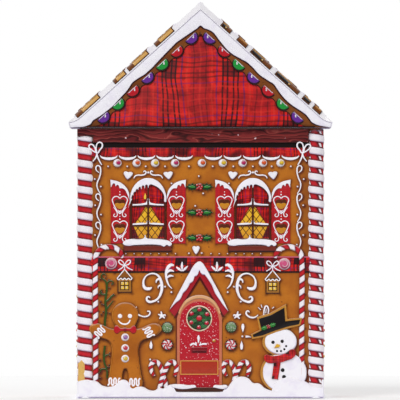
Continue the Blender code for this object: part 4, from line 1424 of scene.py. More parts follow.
def looped(start, end, height=2.0, loops=3):
    """Piped icing in tall rounded loops from start to end, `height` to each side."""
    a, b = Vector(start), Vector(end)
    across = Vector((a.y - b.y, b.x - a.x)).normalized() * height
    knots = []
    for i in range(2 * loops):
        swing = across if i % 2 else -across
        knots += [a.lerp(b, (i + share) / (2 * loops)) + swing for share in (0.25, 0.75)]
    return [(x, y) for x, y in knots]


outline = both_sides(MAN_HALF)
body = [(x * 0.95 + 0.1, y - 0.1) for x, y in outline]
tie = plate(both_sides(BOW_TIE_HALF), front=3.1, rim=0.5, back=0.5)
parts = [
    # A dark copy of the outline, set down and to the right, is a painted shadow that also edges him.
    painted(plate(moved(outline, 0.3, -0.45), front=0.6, rim=0.2), 86, 40, 16),
    coat(pillow(plate(outline, front=1.6, rim=0.5)), golden_dough),
    coat(pillow(plate(body, front=2.4, rim=0.7)), brown_dough),
    *iced(
        beads([(-3.1, 49.5), (2.9, 49.5)], radius=1.5, height=0.8, lift=2.1),
        piping(SMILE, radius=0.5, tip=0.7, lift=2.35),
    ),
    painted(pillow(tie, cell=0.35, rounds=3), 186, 24, 38),
    painted(beads([(0, 41.3)], radius=1.3, height=0.8, lift=2.6), 146, 14, 28),
    *iced(piping(*[looped(*ends) for ends in CUFFS], radius=0.5, tip=0.9, lift=2.45)),
]
for y, hue in BUTTONS:
    parts += [
        coat(beads([(0, y)], radius=2.5, height=1.2, lift=2.1, slices=16), enamel, WHITE),
        coat(beads([(0.2, y + 0.15)], radius=1.5, height=0.8, lift=2.9, slices=16), enamel, hue),
        # The small white bead on each button is a painted glint.
        coat(beads([(-0.3, y + 0.7)], radius=0.35, height=0.4, lift=3.5), enamel, WHITE),
    ]
man = gather(*parts)

print(f"gingerbread man of {len(man.data.polygons)} faces")
dress("gingerbread_man", "gingerbread_print", man, ((FRONT,), ((-45.5, 0),)), ((REAR,), ((DOOR_X, 0),)))

# %% [markdown]
# ## The snowman
#
# He is two balls of icing on a gilt edge, like an iced biscuit, with a black hat, a tartan scarf,
# coal eyes and a carrot. The hat and the scarf lie flat over the balls, so they are plates.

# %% The snowman
HAT = corners(
    (32, 36.8), (31.4, 38.2), (36.9, 40.9), (35.2, 47.9), (42.6, 50.2), (50.6, 54.6), (51.2, 46.4),
    (60.2, 47.4), (59.5, 44.6), (53.4, 43.4), (45.4, 40.9), (37.5, 37.9),
)
HAT_EDGE = corners(
    (31.2, 35.6), (30.4, 38.4), (35.7, 41), (34, 48.9), (42.2, 51.4), (51.7, 56.8), (52.4, 47.8),
    (61.4, 48.5), (60.3, 43.8), (53.6, 42.2), (45.6, 39.7), (37.7, 36.7),
)
SCARF = [
    (38.8, 25.8), (43.3, 25.4), (50.6, 26.8), (55.6, 29.6), (57.4, 28.4), (56.8, 25.2), (51.4, 22.4),
    (44.4, 21), (39.4, 22),
]
SCARF_TAIL = corners((44.4, 22.6), (48.6, 22.6), (46.8, 11.2), (43, 11.6))
CARROT = corners((44.4, 30.2), (46, 32.9), (48.2, 32.2), (47.6, 30.6))
EYES_AND_MOUTH = [
    (43.8, 33.7, 1.15), (49.3, 34.3, 1.15), (46.2, 28.4, 0.8), (48.6, 28.4, 0.8), (50.6, 29.5, 0.8),
    (51.7, 31.4, 0.8),
]
BELLY_COALS = [(49.6, 16.9), (50.4, 12.8)]
COAL, GILT = colour(24, 18, 20), (196, 138, 58)

belly = oval(50.8, 15.4, 13.4, 12.2, steps=10)
head = oval(48.4, 34.1, 9.8, 8.1, steps=10)
parts = []
for outline, out in ((belly, 1.9), (head, 2.3)):
    parts.append(painted(plate(moved(outline, -1.3, -0.1), front=out - 0.5), *GILT))
    parts.append(coat(pillow(plate(outline, front=out, rim=0.8)), icing))
snowman = gather(
    *parts,
    painted(plate(HAT_EDGE, front=2.5, rim=0.4), *GILT),
    coat(plate(HAT, front=3.0, rim=0.4), flat_enamel, COAL),
    coat(plate(SCARF, front=3.0, rim=0.5), scarf_cloth),
    coat(plate(SCARF_TAIL, front=2.7, rim=0.4), scarf_cloth),
    coat(beads(EYES_AND_MOUTH, radius=1.2, height=0.9, lift=2.0), flat_enamel, COAL),
    coat(beads(BELLY_COALS, radius=1.3, height=1.0, lift=1.6), flat_enamel, COAL),
    painted(pillow(plate(CARROT, front=3.4, rim=0.3, back=1.0), 0.25, 3), 226, 172, 48),
)

dress("snowman", "icing_print", snowman, ON_FRONT)
sprig = make_holly(size=0.6, leaf_hue=colour(46, 150, 58))
sprig.data.transform(shift(z=2.6) @ Matrix.Rotation(0.35, 4, "Z"))
dress("hat_holly", "leaf_print", sprig, ((FRONT,), ((41, 43.2),)))
print("snowman dressed")

# %% [markdown]
# ## Snow at the foot
#
# Settled snow runs along the foot of every wall, banked up at both ends of the front and low before
# the door, where the step shows. A bank is a pillow under a line of knots, which on the other walls
# is a row of mounds worked out from their middles.

# %% Snow banks, picket and doorstep
FRONT_TOPS = [
    (-74.4, 10.2), (-70.4, 11.2), (-65.5, 10.7), (-62, 9.8), (-59.3, 7.6), (-52, 7.6), (-48.9, 10.6),
    (-46.6, 11.2), (-43.5, 9.8), (-41.4, 6), (-38.2, 7), (-34.3, 6.7), (-31.2, 5), (-27, 4.9),
    (-25.1, 7.7, CORNER), (-23.2, 5.7), (-19.7, 7.6), (-16.8, 8.2), (-14.6, 6.2), (-13.6, 4, CORNER),
    (11.4, 4, CORNER), (13, 4.8), (16.3, 6.6), (18.1, 8.9), (20.6, 11.7), (25.6, 13), (29.2, 11.7),
    (31.7, 9.2), (35.4, 8.9), (39.1, 5.9), (45.8, 4.7), (48.9, 8), (53.8, 10.5), (58.1, 10.9),
    (63.7, 9.9), (67.4, 7.2), (74.3, 7.1),
]
MOUND = [
    (42.6, 3, CORNER), (43.8, 7), (46.8, 10.6), (51.6, 12.6), (57, 12.2), (61.6, 9.8),
    (64.6, 6.4), (66, 3, CORNER),
]
STEP = corners((-16.2, 6.4), (14.8, 6.4), (13.4, 3.8), (-14.8, 3.8))
STEP_SNOW = (
    [(-17.6, 7.6), (-14, 8.4), (-8, 7.9), (-2.6, 6.8), (-4, 6.2), (-15.8, 6.2)],
    [(7.6, 6.8), (12.4, 7.8), (16.2, 7.4), (15.8, 6.2), (9, 6.2)],
)
PICKET = corners((-73.9, 5), (-69.9, 5), (-69.9, 20.9), (-71.8, 23), (-73.9, 20.9))


def make_bank(tops, half, front):
    ends = corners((half, 0.1), (-half, 0.1))
    outline = [(-half, tops[0][1], CORNER), *tops, (half, tops[-1][1], CORNER), *ends]
    return gather(coat(pillow(plate(outline, front=front, rim=0.7), cell=0.5, rounds=4), icing))


def mounds(first, pitch, count, low, high):
    """A knot on top of each mound and one in each dip between two."""
    knots = []
    for i in range(count):
        knots.append((first + pitch * i, high + 1.6 * math.cos(2.4 * i)))
        knots.append((first + pitch * (i + 0.5) + 1.0, low + 0.6 * math.sin(3.1 * i)))
    return knots[:-1]


rear_tops, short_tops = mounds(-68, 17, 9, 6.4, 9.8), mounds(-24, 16, 4, 6.6, 9.6)
dress("snow_bank", "icing_print", make_bank(FRONT_TOPS, 74.5, 3.0), ON_FRONT)
dress("snow_bank", "icing_print", make_bank(rear_tops, 74.5, 3.0), ((REAR,), MIDDLE))
dress("snow_bank", "icing_print", make_bank(short_tops, 33.5, 2.1), ON_SHORT)
mound = gather(coat(pillow(plate(MOUND, front=2.7, rim=0.5), 0.5, 3), icing))
dress("mound", "icing_print", mound, ON_FRONT)
picket = gather(painted(plate(PICKET, front=2.6, rim=0.3), 222, 178, 98))
dress("picket", "wood_print", picket, ON_FRONT)
step = painted(plate(STEP, front=3.1, rim=0.3), 70, 36, 26)
dress("doorstep", "wood_print", gather(step, coat(plate(*STEP_SNOW, front=3.5, rim=0.4), icing)), ON_FRONT)
print("snow banks along all four walls")

# %% [markdown]
# ## Corner pillars
#
# Each corner is a candy pillar whose white stripes stand out like rope. A cylinder's upright edges
# are subdivided, which cuts rings round it, and each ring's corners then move in or out with their
# stripe, whose phase is kept for the print. A drift, half a ball of snow, lies round each foot.

# %% Pillars and the drift round each foot
STRIPE_PITCH, STRIPE_TURN, RED_CENTRE = 7.92, 4.4, 129.5
RING_HEIGHT, NECK, BULGE = 0.5, 4.7, 0.6
STUMP = 0.5


def make_cylinder(top):
    """An upright cylinder about the origin, cut into rings."""
    select_only()
    height, middle = (top - STUMP) * MM, (top + STUMP) / 2 * MM
    bpy.ops.mesh.primitive_cylinder_add(vertices=40, radius=MM, depth=height, location=(0, 0, middle))
    bpy.ops.object.transform_apply()
    cylinder = bpy.context.object
    bpy.ops.object.mode_set(mode="EDIT")
    shape = bmesh.from_edit_mesh(cylinder.data)
    for face in shape.faces:
        face.select_set(False)
    for edge in shape.edges:
        a, b = edge.verts
        edge.select_set(abs(a.co.z - b.co.z) > MM)
    bmesh.update_edit_mesh(cylinder.data)
    bpy.ops.mesh.subdivide(number_cuts=round((top - STUMP) / RING_HEIGHT))
    bpy.ops.object.mode_set(mode="OBJECT")
    return cylinder


def make_pillar(top, inner, painted_reflection):
    """`inner` is the direction of the tin's middle, in degrees, where the stripes' seam is out of
    sight. The last argument is how strongly a painted reflection and glint lie on its red stripes."""
    pillar = make_cylinder(top)
    front = (-90 - inner) % 360
    runs = []
    for vertex in pillar.data.vertices:
        x, y, z = vertex.co / MM
        turns = ((math.degrees(math.atan2(y, x)) - inner) % 360 - front) / 360
        phase = (z + STRIPE_TURN * turns - RED_CENTRE) / STRIPE_PITCH + 0.5
        from_white = abs((phase + 0.5) % 1 - 0.5) / 0.27
        reach = NECK + BULGE * math.sqrt(max(0.0, 1 - from_white**2))
        reach -= 2.2 * max(0.0, 1 - (top - z) / 1.6) ** 2
        vertex.co.x *= reach
        vertex.co.y *= reach
        runs.append((phase, turns, painted_reflection))
    mark(pillar, "run", runs)
    bpy.ops.object.shade_smooth_by_angle(angle=math.radians(50))
    return coat(pillar, pillar_stripes)


def make_drift():
    """Half a ball of snow, cut off flat at the foot."""
    select_only()
    bpy.ops.mesh.primitive_uv_sphere_add(segments=28, ring_count=14, radius=MM)
    drift = bpy.context.object
    drift.data.transform(shift(z=0.1) @ Matrix.Diagonal((5.7, 5.7, 7.6, 1)))
    bpy.ops.object.mode_set(mode="EDIT")
    bpy.ops.mesh.select_all(action="SELECT")
    bpy.ops.mesh.bisect(plane_co=(0, 0, 0.1 * MM), plane_no=(0, 0, 1), use_fill=True, clear_inner=True)
    bpy.ops.object.mode_set(mode="OBJECT")
    return coat(mend(drift, 50), icing)


for x_side, y_side in ((-1, -1), (1, -1), (-1, 1), (1, 1)):
    label = ("front_" if y_side < 0 else "rear_") + ("left" if x_side < 0 else "right")
    corner = x_side * (half_width - PILLAR_INSET), y_side * (half_depth - PILLAR_INSET + 0.4)
    pillar_top = 158.9 if x_side == y_side else BEAM_TOP
    inner = math.degrees(math.atan2(-y_side, -x_side))
    pillar = make_pillar(pillar_top, inner, float(x_side > 0))
    stand(pillar, f"{label}_pillar", AS_MODELLED, "candy_print", *corner)
    stand(make_drift(), f"{label}_drift", AS_MODELLED, "icing_print", *corner)
print("four pillars with their drifts")

# %% [markdown]
# ## The lid's roof
#
# The roof sheet bends down at both ends in a bevelled verge and flares out at the eaves. Its section
# is the same all along except for that bevel, so it is a loft of rings of matching corners. The inner
# rings at each end sink a pocket for the gable's panel.

# %% The roof sheet
SLOPE = math.radians(42.0)
MAIN_APEX, VERGE_DROP, VERGE_DEPTH = 239.2, 4.0, 3.8
VERGE_APEX = MAIN_APEX - VERGE_DROP
LID_FOOT = 163.2


def slope_point(along, apex, depth=0.0):
    """A point on the right slope, `along` it from the apex and `depth` inside it."""
    x = along * math.cos(SLOPE) - depth * math.sin(SLOPE)
    z = apex - along * math.sin(SLOPE) - depth * math.cos(SLOPE)
    return x, z


def section(apex, last, flare, inset=0.0):
    """The roof's outline, drawn in by `inset`: apex, slope, flare and the eaves' upright edge."""
    half = [(0.0, apex - inset / math.cos(SLOPE)), slope_point(last, apex, inset)]
    half += [(x - inset * 0.6, z - inset * 0.7) for x, z in flare]
    half += [(79.8 - inset, 166.5 - inset * 0.5), (79.0 - inset, LID_FOOT + min(inset, 0.02))]
    return both_sides(half)


def verge_section(inset=0.0):
    return section(VERGE_APEX, 96.2, [(74.4, 168.4), (77, 167.2)], inset)


def loft(rings):
    """A closed skin over rings of (y, outline), with both ends filled."""
    select_only()
    bpy.ops.mesh.primitive_plane_add(size=MM)
    obj = bpy.context.object
    shape = bmesh.new()
    skins = [[shape.verts.new((x * MM, y * MM, z * MM)) for x, z in outline] for y, outline in rings]
    for skin, following in zip(skins, skins[1:]):
        for i, corner in enumerate(skin):
            j = (i + 1) % len(skin)
            shape.faces.new((corner, skin[j], following[j], following[i]))
    shape.faces.new(skins[0])
    shape.faces.new(skins[-1])
    shape.to_mesh(obj.data)
    shape.free()
    return mend(obj, 25)


shoulder = lid_reach - VERGE_DEPTH
main = section(MAIN_APEX, 98.0, [(76, 170.4), (78.2, 168)])
pocket, tucked = (-lid_reach + 3.2, verge_section(0.5)), (-lid_reach, verge_section(0.5))
ends = [pocket, tucked, (-lid_reach, verge_section()), (-shoulder, main)]
roof = coat(loft(ends + [(-y, outline) for y, outline in reversed(ends)]), icing)
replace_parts(stand(roof, "roof", AS_MODELLED, "icing_print"), "roof_sheet")
print(f"roof {len(roof.data.polygons)} faces, apex {MAIN_APEX} mm")

# %% [markdown]
# ## Tile ends on the verges
#
# Both slopes carry courses of square biscuits half under snow. From the front only their ends show,
# as blocks of gold, brown and black on the bevelled verge. Each plane of the roof has its own matrix,
# so the blocks are drawn flat like everything else.

# %% Blocks on the verges
def slope_plane(hand):
    """x runs down the slope times `hand`, y along the ridge, z out of the roof."""
    return shift(z=MAIN_APEX) @ Matrix.Rotation(hand * SLOPE, 4, "Y")


def verge_plane(side, hand):
    """x runs down the slope times `hand`, y across the bevel towards the roof, z out of it."""
    down = Vector((math.cos(SLOPE), 0, -hand * math.sin(SLOPE)))
    rise = Vector((0, VERGE_DEPTH, VERGE_DROP))
    across = (rise - down * rise.dot(down)).normalized()
    turned = Matrix((down, across, down.cross(across))).transposed().to_4x4()
    turn = Matrix.Rotation(side * math.pi / 2, 4, "Z")
    return turn @ shift(y=-lid_reach, z=VERGE_APEX) @ turned


LEFT_BLOCKS = ((21, 35, 0.78), (41.5, 57, 0.74), (59.7, 68.5, 0.8), (81, 99, 0.76))
RIGHT_BLOCKS = (
    (16, 23, 0.62), (29, 36, 0), (40, 55.5, 0.62), (60, 78, 0.64), (82, 87, 1),
    (90.5, 96, 0),
)
SLOPES = ((-1, "left", LEFT_BLOCKS), (1, "right", RIGHT_BLOCKS))


def make_verge_blocks(blocks, hand):
    """Tile ends as (start, end, share of the length that isn't the brown end). Those on the left
    are gold inside, and those on the right are dark with a gold spot."""
    parts = []
    inside = (222, 172, 96) if hand < 0 else (28, 18, 14)

    def block(start, end, low, high, front, hue):
        left, right = sorted((hand * start, hand * end))
        solid = plate(box(left, low, right, high), front=front, rim=0.12)
        parts.append(coat(solid, flat_enamel, colour(*hue)))

    for start, end, share in blocks:
        split = start + (end - start) * share
        block(start - 0.35, end + 0.35, 0.35, 4.8, 0.4, (48, 24, 12))
        block(start, end, 0.5, 4.7, 0.6, (116, 62, 16))
        if share > 0:
            block(start + 0.4, split - 0.3, 0.7, 3.5, 0.8, inside)
            block(start + 0.3, split, 3.85, 4.65, 0.75, (204, 154, 82))
        else:
            block(start + 0.5, end - 0.5, 2.6, 4.4, 0.75, (176, 118, 52))
        if 0 < share < 1 and hand > 0:
            spot = beads([(hand * (split - 1.2), 1.9)], radius=1.3, height=1.1)
            parts.append(coat(spot, flat_enamel, colour(206, 156, 70)))
    return gather(*parts)


for side, end in ((FRONT, "front"), (REAR, "rear")):
    for hand, label, blocks in SLOPES:
        ends = make_verge_blocks(blocks, hand)
        stand(ends, f"{end}_{label}_verge_blocks", verge_plane(side, hand), "gold_print")
print("tile ends on four verges")

# %% [markdown]
# ## Biscuits on the slopes
#
# Each course is a row of four baked tiles in line with a block on the verge. A tile's edge is baked
# darker, so `own` here runs from -1 to 1 on each tile. Noise lays thin snow over part of every tile.

# %% Tiles with thin snow
TILE_WIDTH, TILE_PITCH = 16.2, 17.3

snowy_biscuit = open_finish("snowy_biscuit")
place = kept("sheet")
dough = use(biscuit, Vector=place, Colour=colour(214, 160, 84), Dark=colour(160, 96, 38))
own_x, own_y, _ = parts_of(kept("own"))
edge = maths("MAXIMUM", away(own_x, 0.0), away(own_y, 0.0))
baked = tint(dough["Colour"], colour(112, 62, 26), step_up(edge, 0.72, 0.98))
drift = maths("ADD", noise(place, 0.14, 3.0), times(own_x, -0.09))
snow = step_up(drift, 0.52, 0.56)
height = maths("MULTIPLY_ADD", snow, 1.5, dough["Height"])
hue = tint(baked, colour(246, 242, 250), snow)
close_finish(hue, shade=colour(120, 84, 60), depth=0.4, glow=0.1, height=height, bump=0.6)


def make_course(hand, start, end):
    half = (end - start) / 2
    outline = box(-half, -TILE_WIDTH / 2, half, TILE_WIDTH / 2)
    tile = coat(plate(outline, front=0.9, rim=0.4), snowy_biscuit)
    places = [vertex.co / MM for vertex in tile.data.vertices]
    mark(tile, "own", [(x / half, 2 * y / TILE_WIDTH, 0.0) for x, y, _ in places])
    course = [tile] + [copy_of(tile) for _ in range(3)]
    for column, one in enumerate(course):
        x, y = hand * (start + half), (column - 1.5) * TILE_PITCH
        one.data.transform(shift(x, y))
    return course


for hand, label, courses in SLOPES:
    tiles = [tile for start, end, _ in courses for tile in make_course(hand, start, end)]
    slope = join(*tiles)
    stand(slope, f"{label}_roof_biscuits", slope_plane(hand), "gold_print")
    print(f"{slope.name}: {len(tiles)} tiles")

# %% [markdown]
# ## Snow on the roof
#
# Rolls of snow lie along the ridge and at the head of every course. A roll is a bevelled line whose
# width wanders, and a cloud texture pushes its surface in and out, because settled snow has soft
# edges that a plate can't give.

# %% Snow along the ridge and between the courses
ROLL_KNOTS = 15


def lumpy(obj, strength, size=5.0):
    """Pushes a surface in and out with soft clouds, like settled snow."""
    select_only(obj)
    clouds = bpy.data.textures.new("clouds", "CLOUDS")
    clouds.noise_scale = size * MM
    push = obj.modifiers.new("lumps", "DISPLACE")
    push.texture = clouds
    push.strength = strength * MM
    bpy.ops.object.modifier_apply(modifier=push.name)
    return obj


def snow_roll(x, reach, radius, squash, seed):
    draw = random.Random(seed)
    ys = [reach * (2 * i / (ROLL_KNOTS - 1) - 1) for i in range(ROLL_KNOTS)]
    path = [(x + draw.uniform(-0.4, 0.4), y, draw.uniform(0.75, 1)) for y in ys]
    return coat(lumpy(piping(path, radius=radius, squash=squash, steps=5), 0.2 * radius), icing)


ridge = snow_roll(0.0, shoulder - 2.6, 1.7, 0.9, 4)
ridge.data.transform(shift(z=lid_top - 1.9))
stand(ridge, "ridge_snow", AS_MODELLED, "icing_print")
for hand, label, courses in SLOPES:
    heads = [hand * (course[0] + 0.4) for course in courses]
    rolls = [snow_roll(x, shoulder - 1, 1.6, 0.5, i) for i, x in enumerate(heads)]
    stand(gather(*rolls), f"{label}_roof_snow", slope_plane(hand), "icing_print")
print("snow on the roof")

# %% [markdown]
# ## Gables
#
# Each end of the lid has a panel of tartan print set back inside the verge, without lettering. Down
# both verges run a band of snow with a wavy lower edge and a gingerbread board that swells round
# every gumdrop. Both are plates from the verge's outline to a depth that changes down the slope.

# %% Gable panels, verge snow and boards
GUMDROP_PLACES = [16.0 + 11.9 * i for i in range(7)]
BAND_START, BAND_STEP, BAND_SPOTS = 9.5, 3.0, 31
SNOW_EDGE = {
    -1: ((8, 7.8), (14.7, 6.9), (24.3, 5.6), (35.1, 6.2), (45.6, 7.1), (51.9, 7.1), (56.7, 6.1),
         (61, 5.8), (65.7, 7.2), (79.4, 8.5), (89.1, 7.8), (92.8, 6.8), (100, 8)),
    1: ((7.2, 8.5), (12.2, 6.3), (16.1, 5.6), (21.7, 6.8), (28.3, 7.8), (32.8, 7.7), (43.1, 5.3),
        (48.5, 5.5), (53, 6.1), (63.9, 4.4), (68.7, 5.7), (74, 6.6), (79.7, 6.6), (89.7, 5),
        (95.1, 5.9), (100.2, 6.4)),
}


def snow_depth(along, hand):
    places, depths = zip(*SNOW_EDGE[hand])
    return float(numpy.interp(along, places, depths))


def board_depth(along, hand):
    """Deeper beside each gumdrop, and the same on both hands."""
    return 10.9 + 2.4 * max(math.exp(-(((along - place) / 3.6) ** 2)) for place in GUMDROP_PLACES)


def verge_band(depth, inset, extra=0.0):
    """A band from the verges' outline down to a depth that changes along the slope."""
    lines = {}
    for hand in (-1, 1):
        alongs = [BAND_START + BAND_STEP * i for i in range(BAND_SPOTS)]
        spots = [slope_point(along, VERGE_APEX, depth(along, hand) + extra) for along in alongs]
        lines[hand] = [(hand * x, z) for x, z in spots if z > LID_FOOT + inset + 0.6]
    outer = corners(*verge_section(inset))
    foot = len(outer) // 2 + 1
    middle = (0.0, VERGE_APEX - (depth(BAND_START, 1) + extra) / math.cos(SLOPE) - 0.4)
    return outer[:foot] + lines[1][::-1] + [middle] + lines[-1] + outer[foot:]


for side, end in ((FRONT, "front"), (REAR, "rear")):
    panel = coat(plate(corners(*verge_section(0.45)), front=-1.7, back=-3.0, rim=0.1), gable_cloth)
    stand(gather(panel), f"{end}_gable_panel", gables[side], "tartan_print")
    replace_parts(panel, f"{end}_gable")
    # The thin dark line at the lid's foot is a painted shadow of the gap below the lid.
    foot_line = box(-67.0, LID_FOOT + 0.03, 69.0, LID_FOOT + 0.9)
    trim = gather(
        painted(plate(verge_band(board_depth, 0.5, 0.5), front=-1.45, back=-2.6, rim=0.1), 66, 16, 18),
        coat(plate(verge_band(board_depth, 0.55), front=-1.2, back=-2.6, rim=0.2), board_dough),
        painted(plate(verge_band(snow_depth, 0.5, 0.75), front=-0.95, back=-2.6, rim=0.1), 54, 20, 14),
        coat(plate(verge_band(snow_depth, 0.6), front=-0.35, back=-2.8, rim=0.4), icing),
        coat(plate(foot_line, front=-0.05, back=-2.0, rim=0.1), flat_enamel, DARK),
    )
    stand(trim, f"{end}_verge_boards", gables[side], "icing_print")
print("two gables with their boards")

# %% [markdown]
# ## Gumdrops
#
# Seven gumdrops in purple, red and green hang along each verge, flat side up. One is a pillow with a
# dark outline and painted shadow behind it, a painted highlight along its flat side and two white
# glints at the end nearer the ridge. It is modelled at the origin and turned to each slope.

# %% Gumdrops
GUMDROP_DEPTH = 9.9
DROP_OUTLINE = [
    (-3.9, 1.4, CORNER), (3.9, 1.4, CORNER), (3.8, -0.4), (2.4, -2.3), (0, -3), (-2.4, -2.3),
    (-3.8, -0.4),
]
DROP_HUES = (colour(104, 48, 150), RED, colour(36, 150, 62))
DROP_HIGHLIGHT = corners((-3.2, 1.2), (3.2, 1.2), (2.6, 0.85), (-2.6, 0.85))


def make_gumdrop(hue):
    edge = [(x * 1.14 + 0.1, y * 1.16 - 0.35, *kind) for x, y, *kind in DROP_OUTLINE]
    return gather(
        # A dark outline behind the drop, set lower, is also its painted shadow.
        painted(plate(edge, front=-0.9, back=-2.6, rim=0.2), 44, 18, 20),
        coat(pillow(plate(DROP_OUTLINE, front=-0.35, back=-2.4, rim=0.5), 0.35, 4), enamel, hue),
        # A pale painted highlight along the flat side.
        painted(plate(DROP_HIGHLIGHT, front=-0.25, back=-1.4, rim=0.12), 238, 226, 244),
    )


def make_gumdrops():
    drops, glints = [], []
    for i, along in enumerate(GUMDROP_PLACES):
        master = make_gumdrop(DROP_HUES[i % 3])
        x, z = slope_point(along, VERGE_APEX, GUMDROP_DEPTH)
        glint_x, glint_z = slope_point(along - 1.5, VERGE_APEX, GUMDROP_DEPTH - 0.3)
        for hand, drop in ((-1, master), (1, copy_of(master))):
            drop.data.transform(shift(hand * x, z) @ Matrix.Rotation(-hand * SLOPE, 4, "Z"))
            drops.append(drop)
            glints += [(hand * glint_x, glint_z - lower) for lower in (0, 0.8)]
    shine = coat(beads(glints, radius=0.5, height=0.4, lift=-0.45), flat_enamel, WHITE)
    return gather(*drops, shine)


for side, end in ((FRONT, "front"), (REAR, "rear")):
    stand(make_gumdrops(), f"{end}_gumdrops", gables[side], "sweet_print")
print(f"{4 * len(GUMDROP_PLACES)} gumdrops")

# %% [markdown]
# ## The wall sheets
#
# The walls come last, because their print is shaded by what stands on them. Each wall is a fine grid,
# extruded backwards for real thickness, and every vertex gets a shadow value from how near the relief
# is, a little down and to the right of it.

# %% Walls with painted shadows
CELL, SHEET_DEPTH = 0.75, 1.6
SHADOW_DROP = (0.45, -0.55)
CLOSE_REACH, WIDE_REACH = 1.4, 5.0


def make_wall_sheet(half, foot, top):
    select_only()
    width, height = 2 * half, top - foot
    cells = {"x_subdivisions": round(width / CELL), "y_subdivisions": round(height / CELL)}
    bpy.ops.mesh.primitive_grid_add(size=MM, **cells)
    sheet = bpy.context.object
    sheet.data.transform(shift(y=(foot + top) / 2) @ Matrix.Diagonal((width, height, 1, 1)))
    bpy.ops.object.mode_set(mode="EDIT")
    bpy.ops.mesh.select_all(action="SELECT")
    bpy.ops.mesh.extrude_region_move(TRANSFORM_OT_translate={"value": (0, 0, SHEET_DEPTH * MM)})
    bpy.ops.mesh.select_all(action="SELECT")
    bpy.ops.mesh.region_to_loop()
    bpy.ops.mesh.edge_face_add()
    bpy.ops.mesh.select_all(action="SELECT")
    bpy.ops.mesh.normals_make_consistent(inside=False)
    bpy.ops.object.mode_set(mode="OBJECT")
    sheet.data.transform(shift(z=-SHEET_DEPTH))
    return sheet


def relief_tree(wall):
    """A tree of where the relief on one wall is, in the wall's flat drawing."""
    spots = []
    for obj in standing[wall]:
        flat = numpy.empty(len(obj.data.vertices) * 3)
        obj.data.attributes["sheet"].data.foreach_get("vector", flat)
        spots.append(flat.reshape(-1, 3))
    spots = numpy.concatenate(spots)
    tree = KDTree(len(spots))
    for i, (x, y, _) in enumerate(spots):
        tree.insert((x + SHADOW_DROP[0], y + SHADOW_DROP[1], 0), i)
    tree.balance()
    return tree


def paint_shadows(sheet, wall, half):
    """1 beside the relief, 0 far from it, and half dark beside the pillars and above the snow."""
    tree = relief_tree(wall)
    values = []
    for vertex in sheet.data.vertices:
        x, y = vertex.co.x / MM, vertex.co.y / MM
        gap = tree.find((x, y, 0))[2]
        close = max(0.0, 1 - gap / CLOSE_REACH) ** 1.2 * 0.7
        wide = max(0.0, 1 - gap / WIDE_REACH) ** 2 * 0.18
        side = max(0.0, min(1.0, 1 - (half - abs(x) - 6.5) / 8.0)) * 0.45
        foot = max(0.0, 1 - (y - 6.0) / 16.0) * 0.2
        values.append(min(1.0, close + wide + side + foot))
    layer = sheet.data.attributes.new("shade", "FLOAT", "POINT")
    layer.data.foreach_set("value", values)


for wall, plane in enumerate(walls):
    half = (half_width, half_depth)[wall % 2] - 1.1
    sheet = coat(make_wall_sheet(half, 1.2, wall_top), wall_dough)
    paint_shadows(sheet, wall, half)
    stand(sheet, f"{WALL_NAMES[wall]}_wall", plane, "gingerbread_print")
    if wall == FRONT:
        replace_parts(sheet, "tin_body")
    print(f"{sheet.name}: {len(sheet.data.vertices)} vertices")

# %% [markdown]
# ## The foot of the tin
#
# The wall sheet is rolled under at its foot, and the base panel is seamed in behind that roll, which
# is one closed curve round the tin. The base panel is the CAD part itself, so it only takes a finish
# in its own material slots.

# %% Rolled foot and base panel
ROLL_RADIUS, CORNER_CUT = 0.8, 3.0
x, y = half_width - 0.9, half_depth - 0.9
path = [(x, y - CORNER_CUT), (x - 0.9, y - 0.9), (x - CORNER_CUT, y)]
path += flipped(path[::-1])
path += [(px, -py) for px, py in reversed(path)]
roll = piping(path, radius=ROLL_RADIUS, closed=True, squash=1.0, lift=ROLL_RADIUS, steps=6)
stand(painted(roll, 232, 228, 236), "foot_roll", AS_MODELLED, "bare_tinplate")
base_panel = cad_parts["base_panel"]
for slot in base_panel.material_slots:
    slot.material = bare_tin
print(f"base panel has {len(base_panel.material_slots)} material slot")

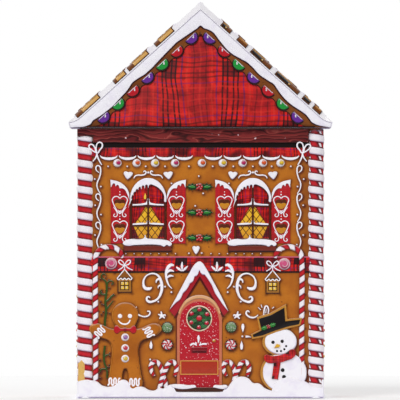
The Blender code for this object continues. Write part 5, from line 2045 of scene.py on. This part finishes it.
# %% [markdown]
# ## Floor, light and camera
#
# The tin stands on a pale floor in soft light from above left, which leaves the print's own colours
# alone and still picks out the pressed edges. The camera is far away on a long lens, so that the
# front shows with almost no perspective.

# %% Studio
def soft_light(name, place, power, size):
    bpy.ops.object.light_add(type="AREA", location=place)
    light = bpy.context.object
    light.name = name
    light.data.energy = power
    light.data.shape = "DISK"
    light.data.size = size
    light.rotation_euler = (Vector((0, 0, 0.12)) - Vector(place)).to_track_quat("-Z", "Y").to_euler()


select_only()
bpy.ops.mesh.primitive_circle_add(vertices=96, radius=0.5, fill_type="NGON", location=(0, 0, -0.0004))
floor = bpy.context.object
floor.name = "floor"
matt = {"Base_Color": (0.75, 0.75, 0.75, 1), "Roughness": 1.0, "Specular_IOR_Level": 0.0}
glow = {"Emission_Color": (1, 1, 1, 1), "Emission_Strength": 0.3}
floor.data.materials.append(plain_shader("floor_paper", **matt, **glow)[0])
floor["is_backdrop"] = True

soft_light("key_light", (-0.9, -1.6, 1.5), 26.0, 1.2)
soft_light("fill_light", (1.4, -1.2, 0.8), 8.0, 1.4)
soft_light("rear_right_light", (1.2, 1.5, 1.3), 17.0, 1.4)
soft_light("rear_left_light", (-1.4, 1.2, 0.9), 14.0, 1.4)
world = bpy.data.worlds.new("pale_room")
world.use_nodes = True
tree = world.node_tree
backdrop = add("LightPath").outputs["Is Camera Ray"]
fill(tree.nodes["Background"].inputs["Strength"], add("Mix", Factor=backdrop, A=0.25, B=1.0).outputs[0])
fill(tree.nodes["Background"].inputs["Color"], (1, 1, 1, 1))
bpy.context.scene.world = world
bpy.context.scene.view_settings.view_transform = "Standard"

bpy.ops.object.camera_add(location=(-0.0003, -4.06, 0.1196), rotation=(math.pi / 2, 0, 0))
camera = bpy.context.object
camera.data.lens = 600
camera.data.clip_end = 20
bpy.context.scene.camera = camera
print("four lights and one camera")

# %% [markdown]
# ## Sizes and the end
#
# The visual model's box is printed before the scene is finished. The visual model has to stay inside
# the CAD model's box.

# %% Sizes and the end
low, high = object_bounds()
print(f"visual box {[round(v / MM, 1) for v in low]} to {[round(v / MM, 1) for v in high]}")
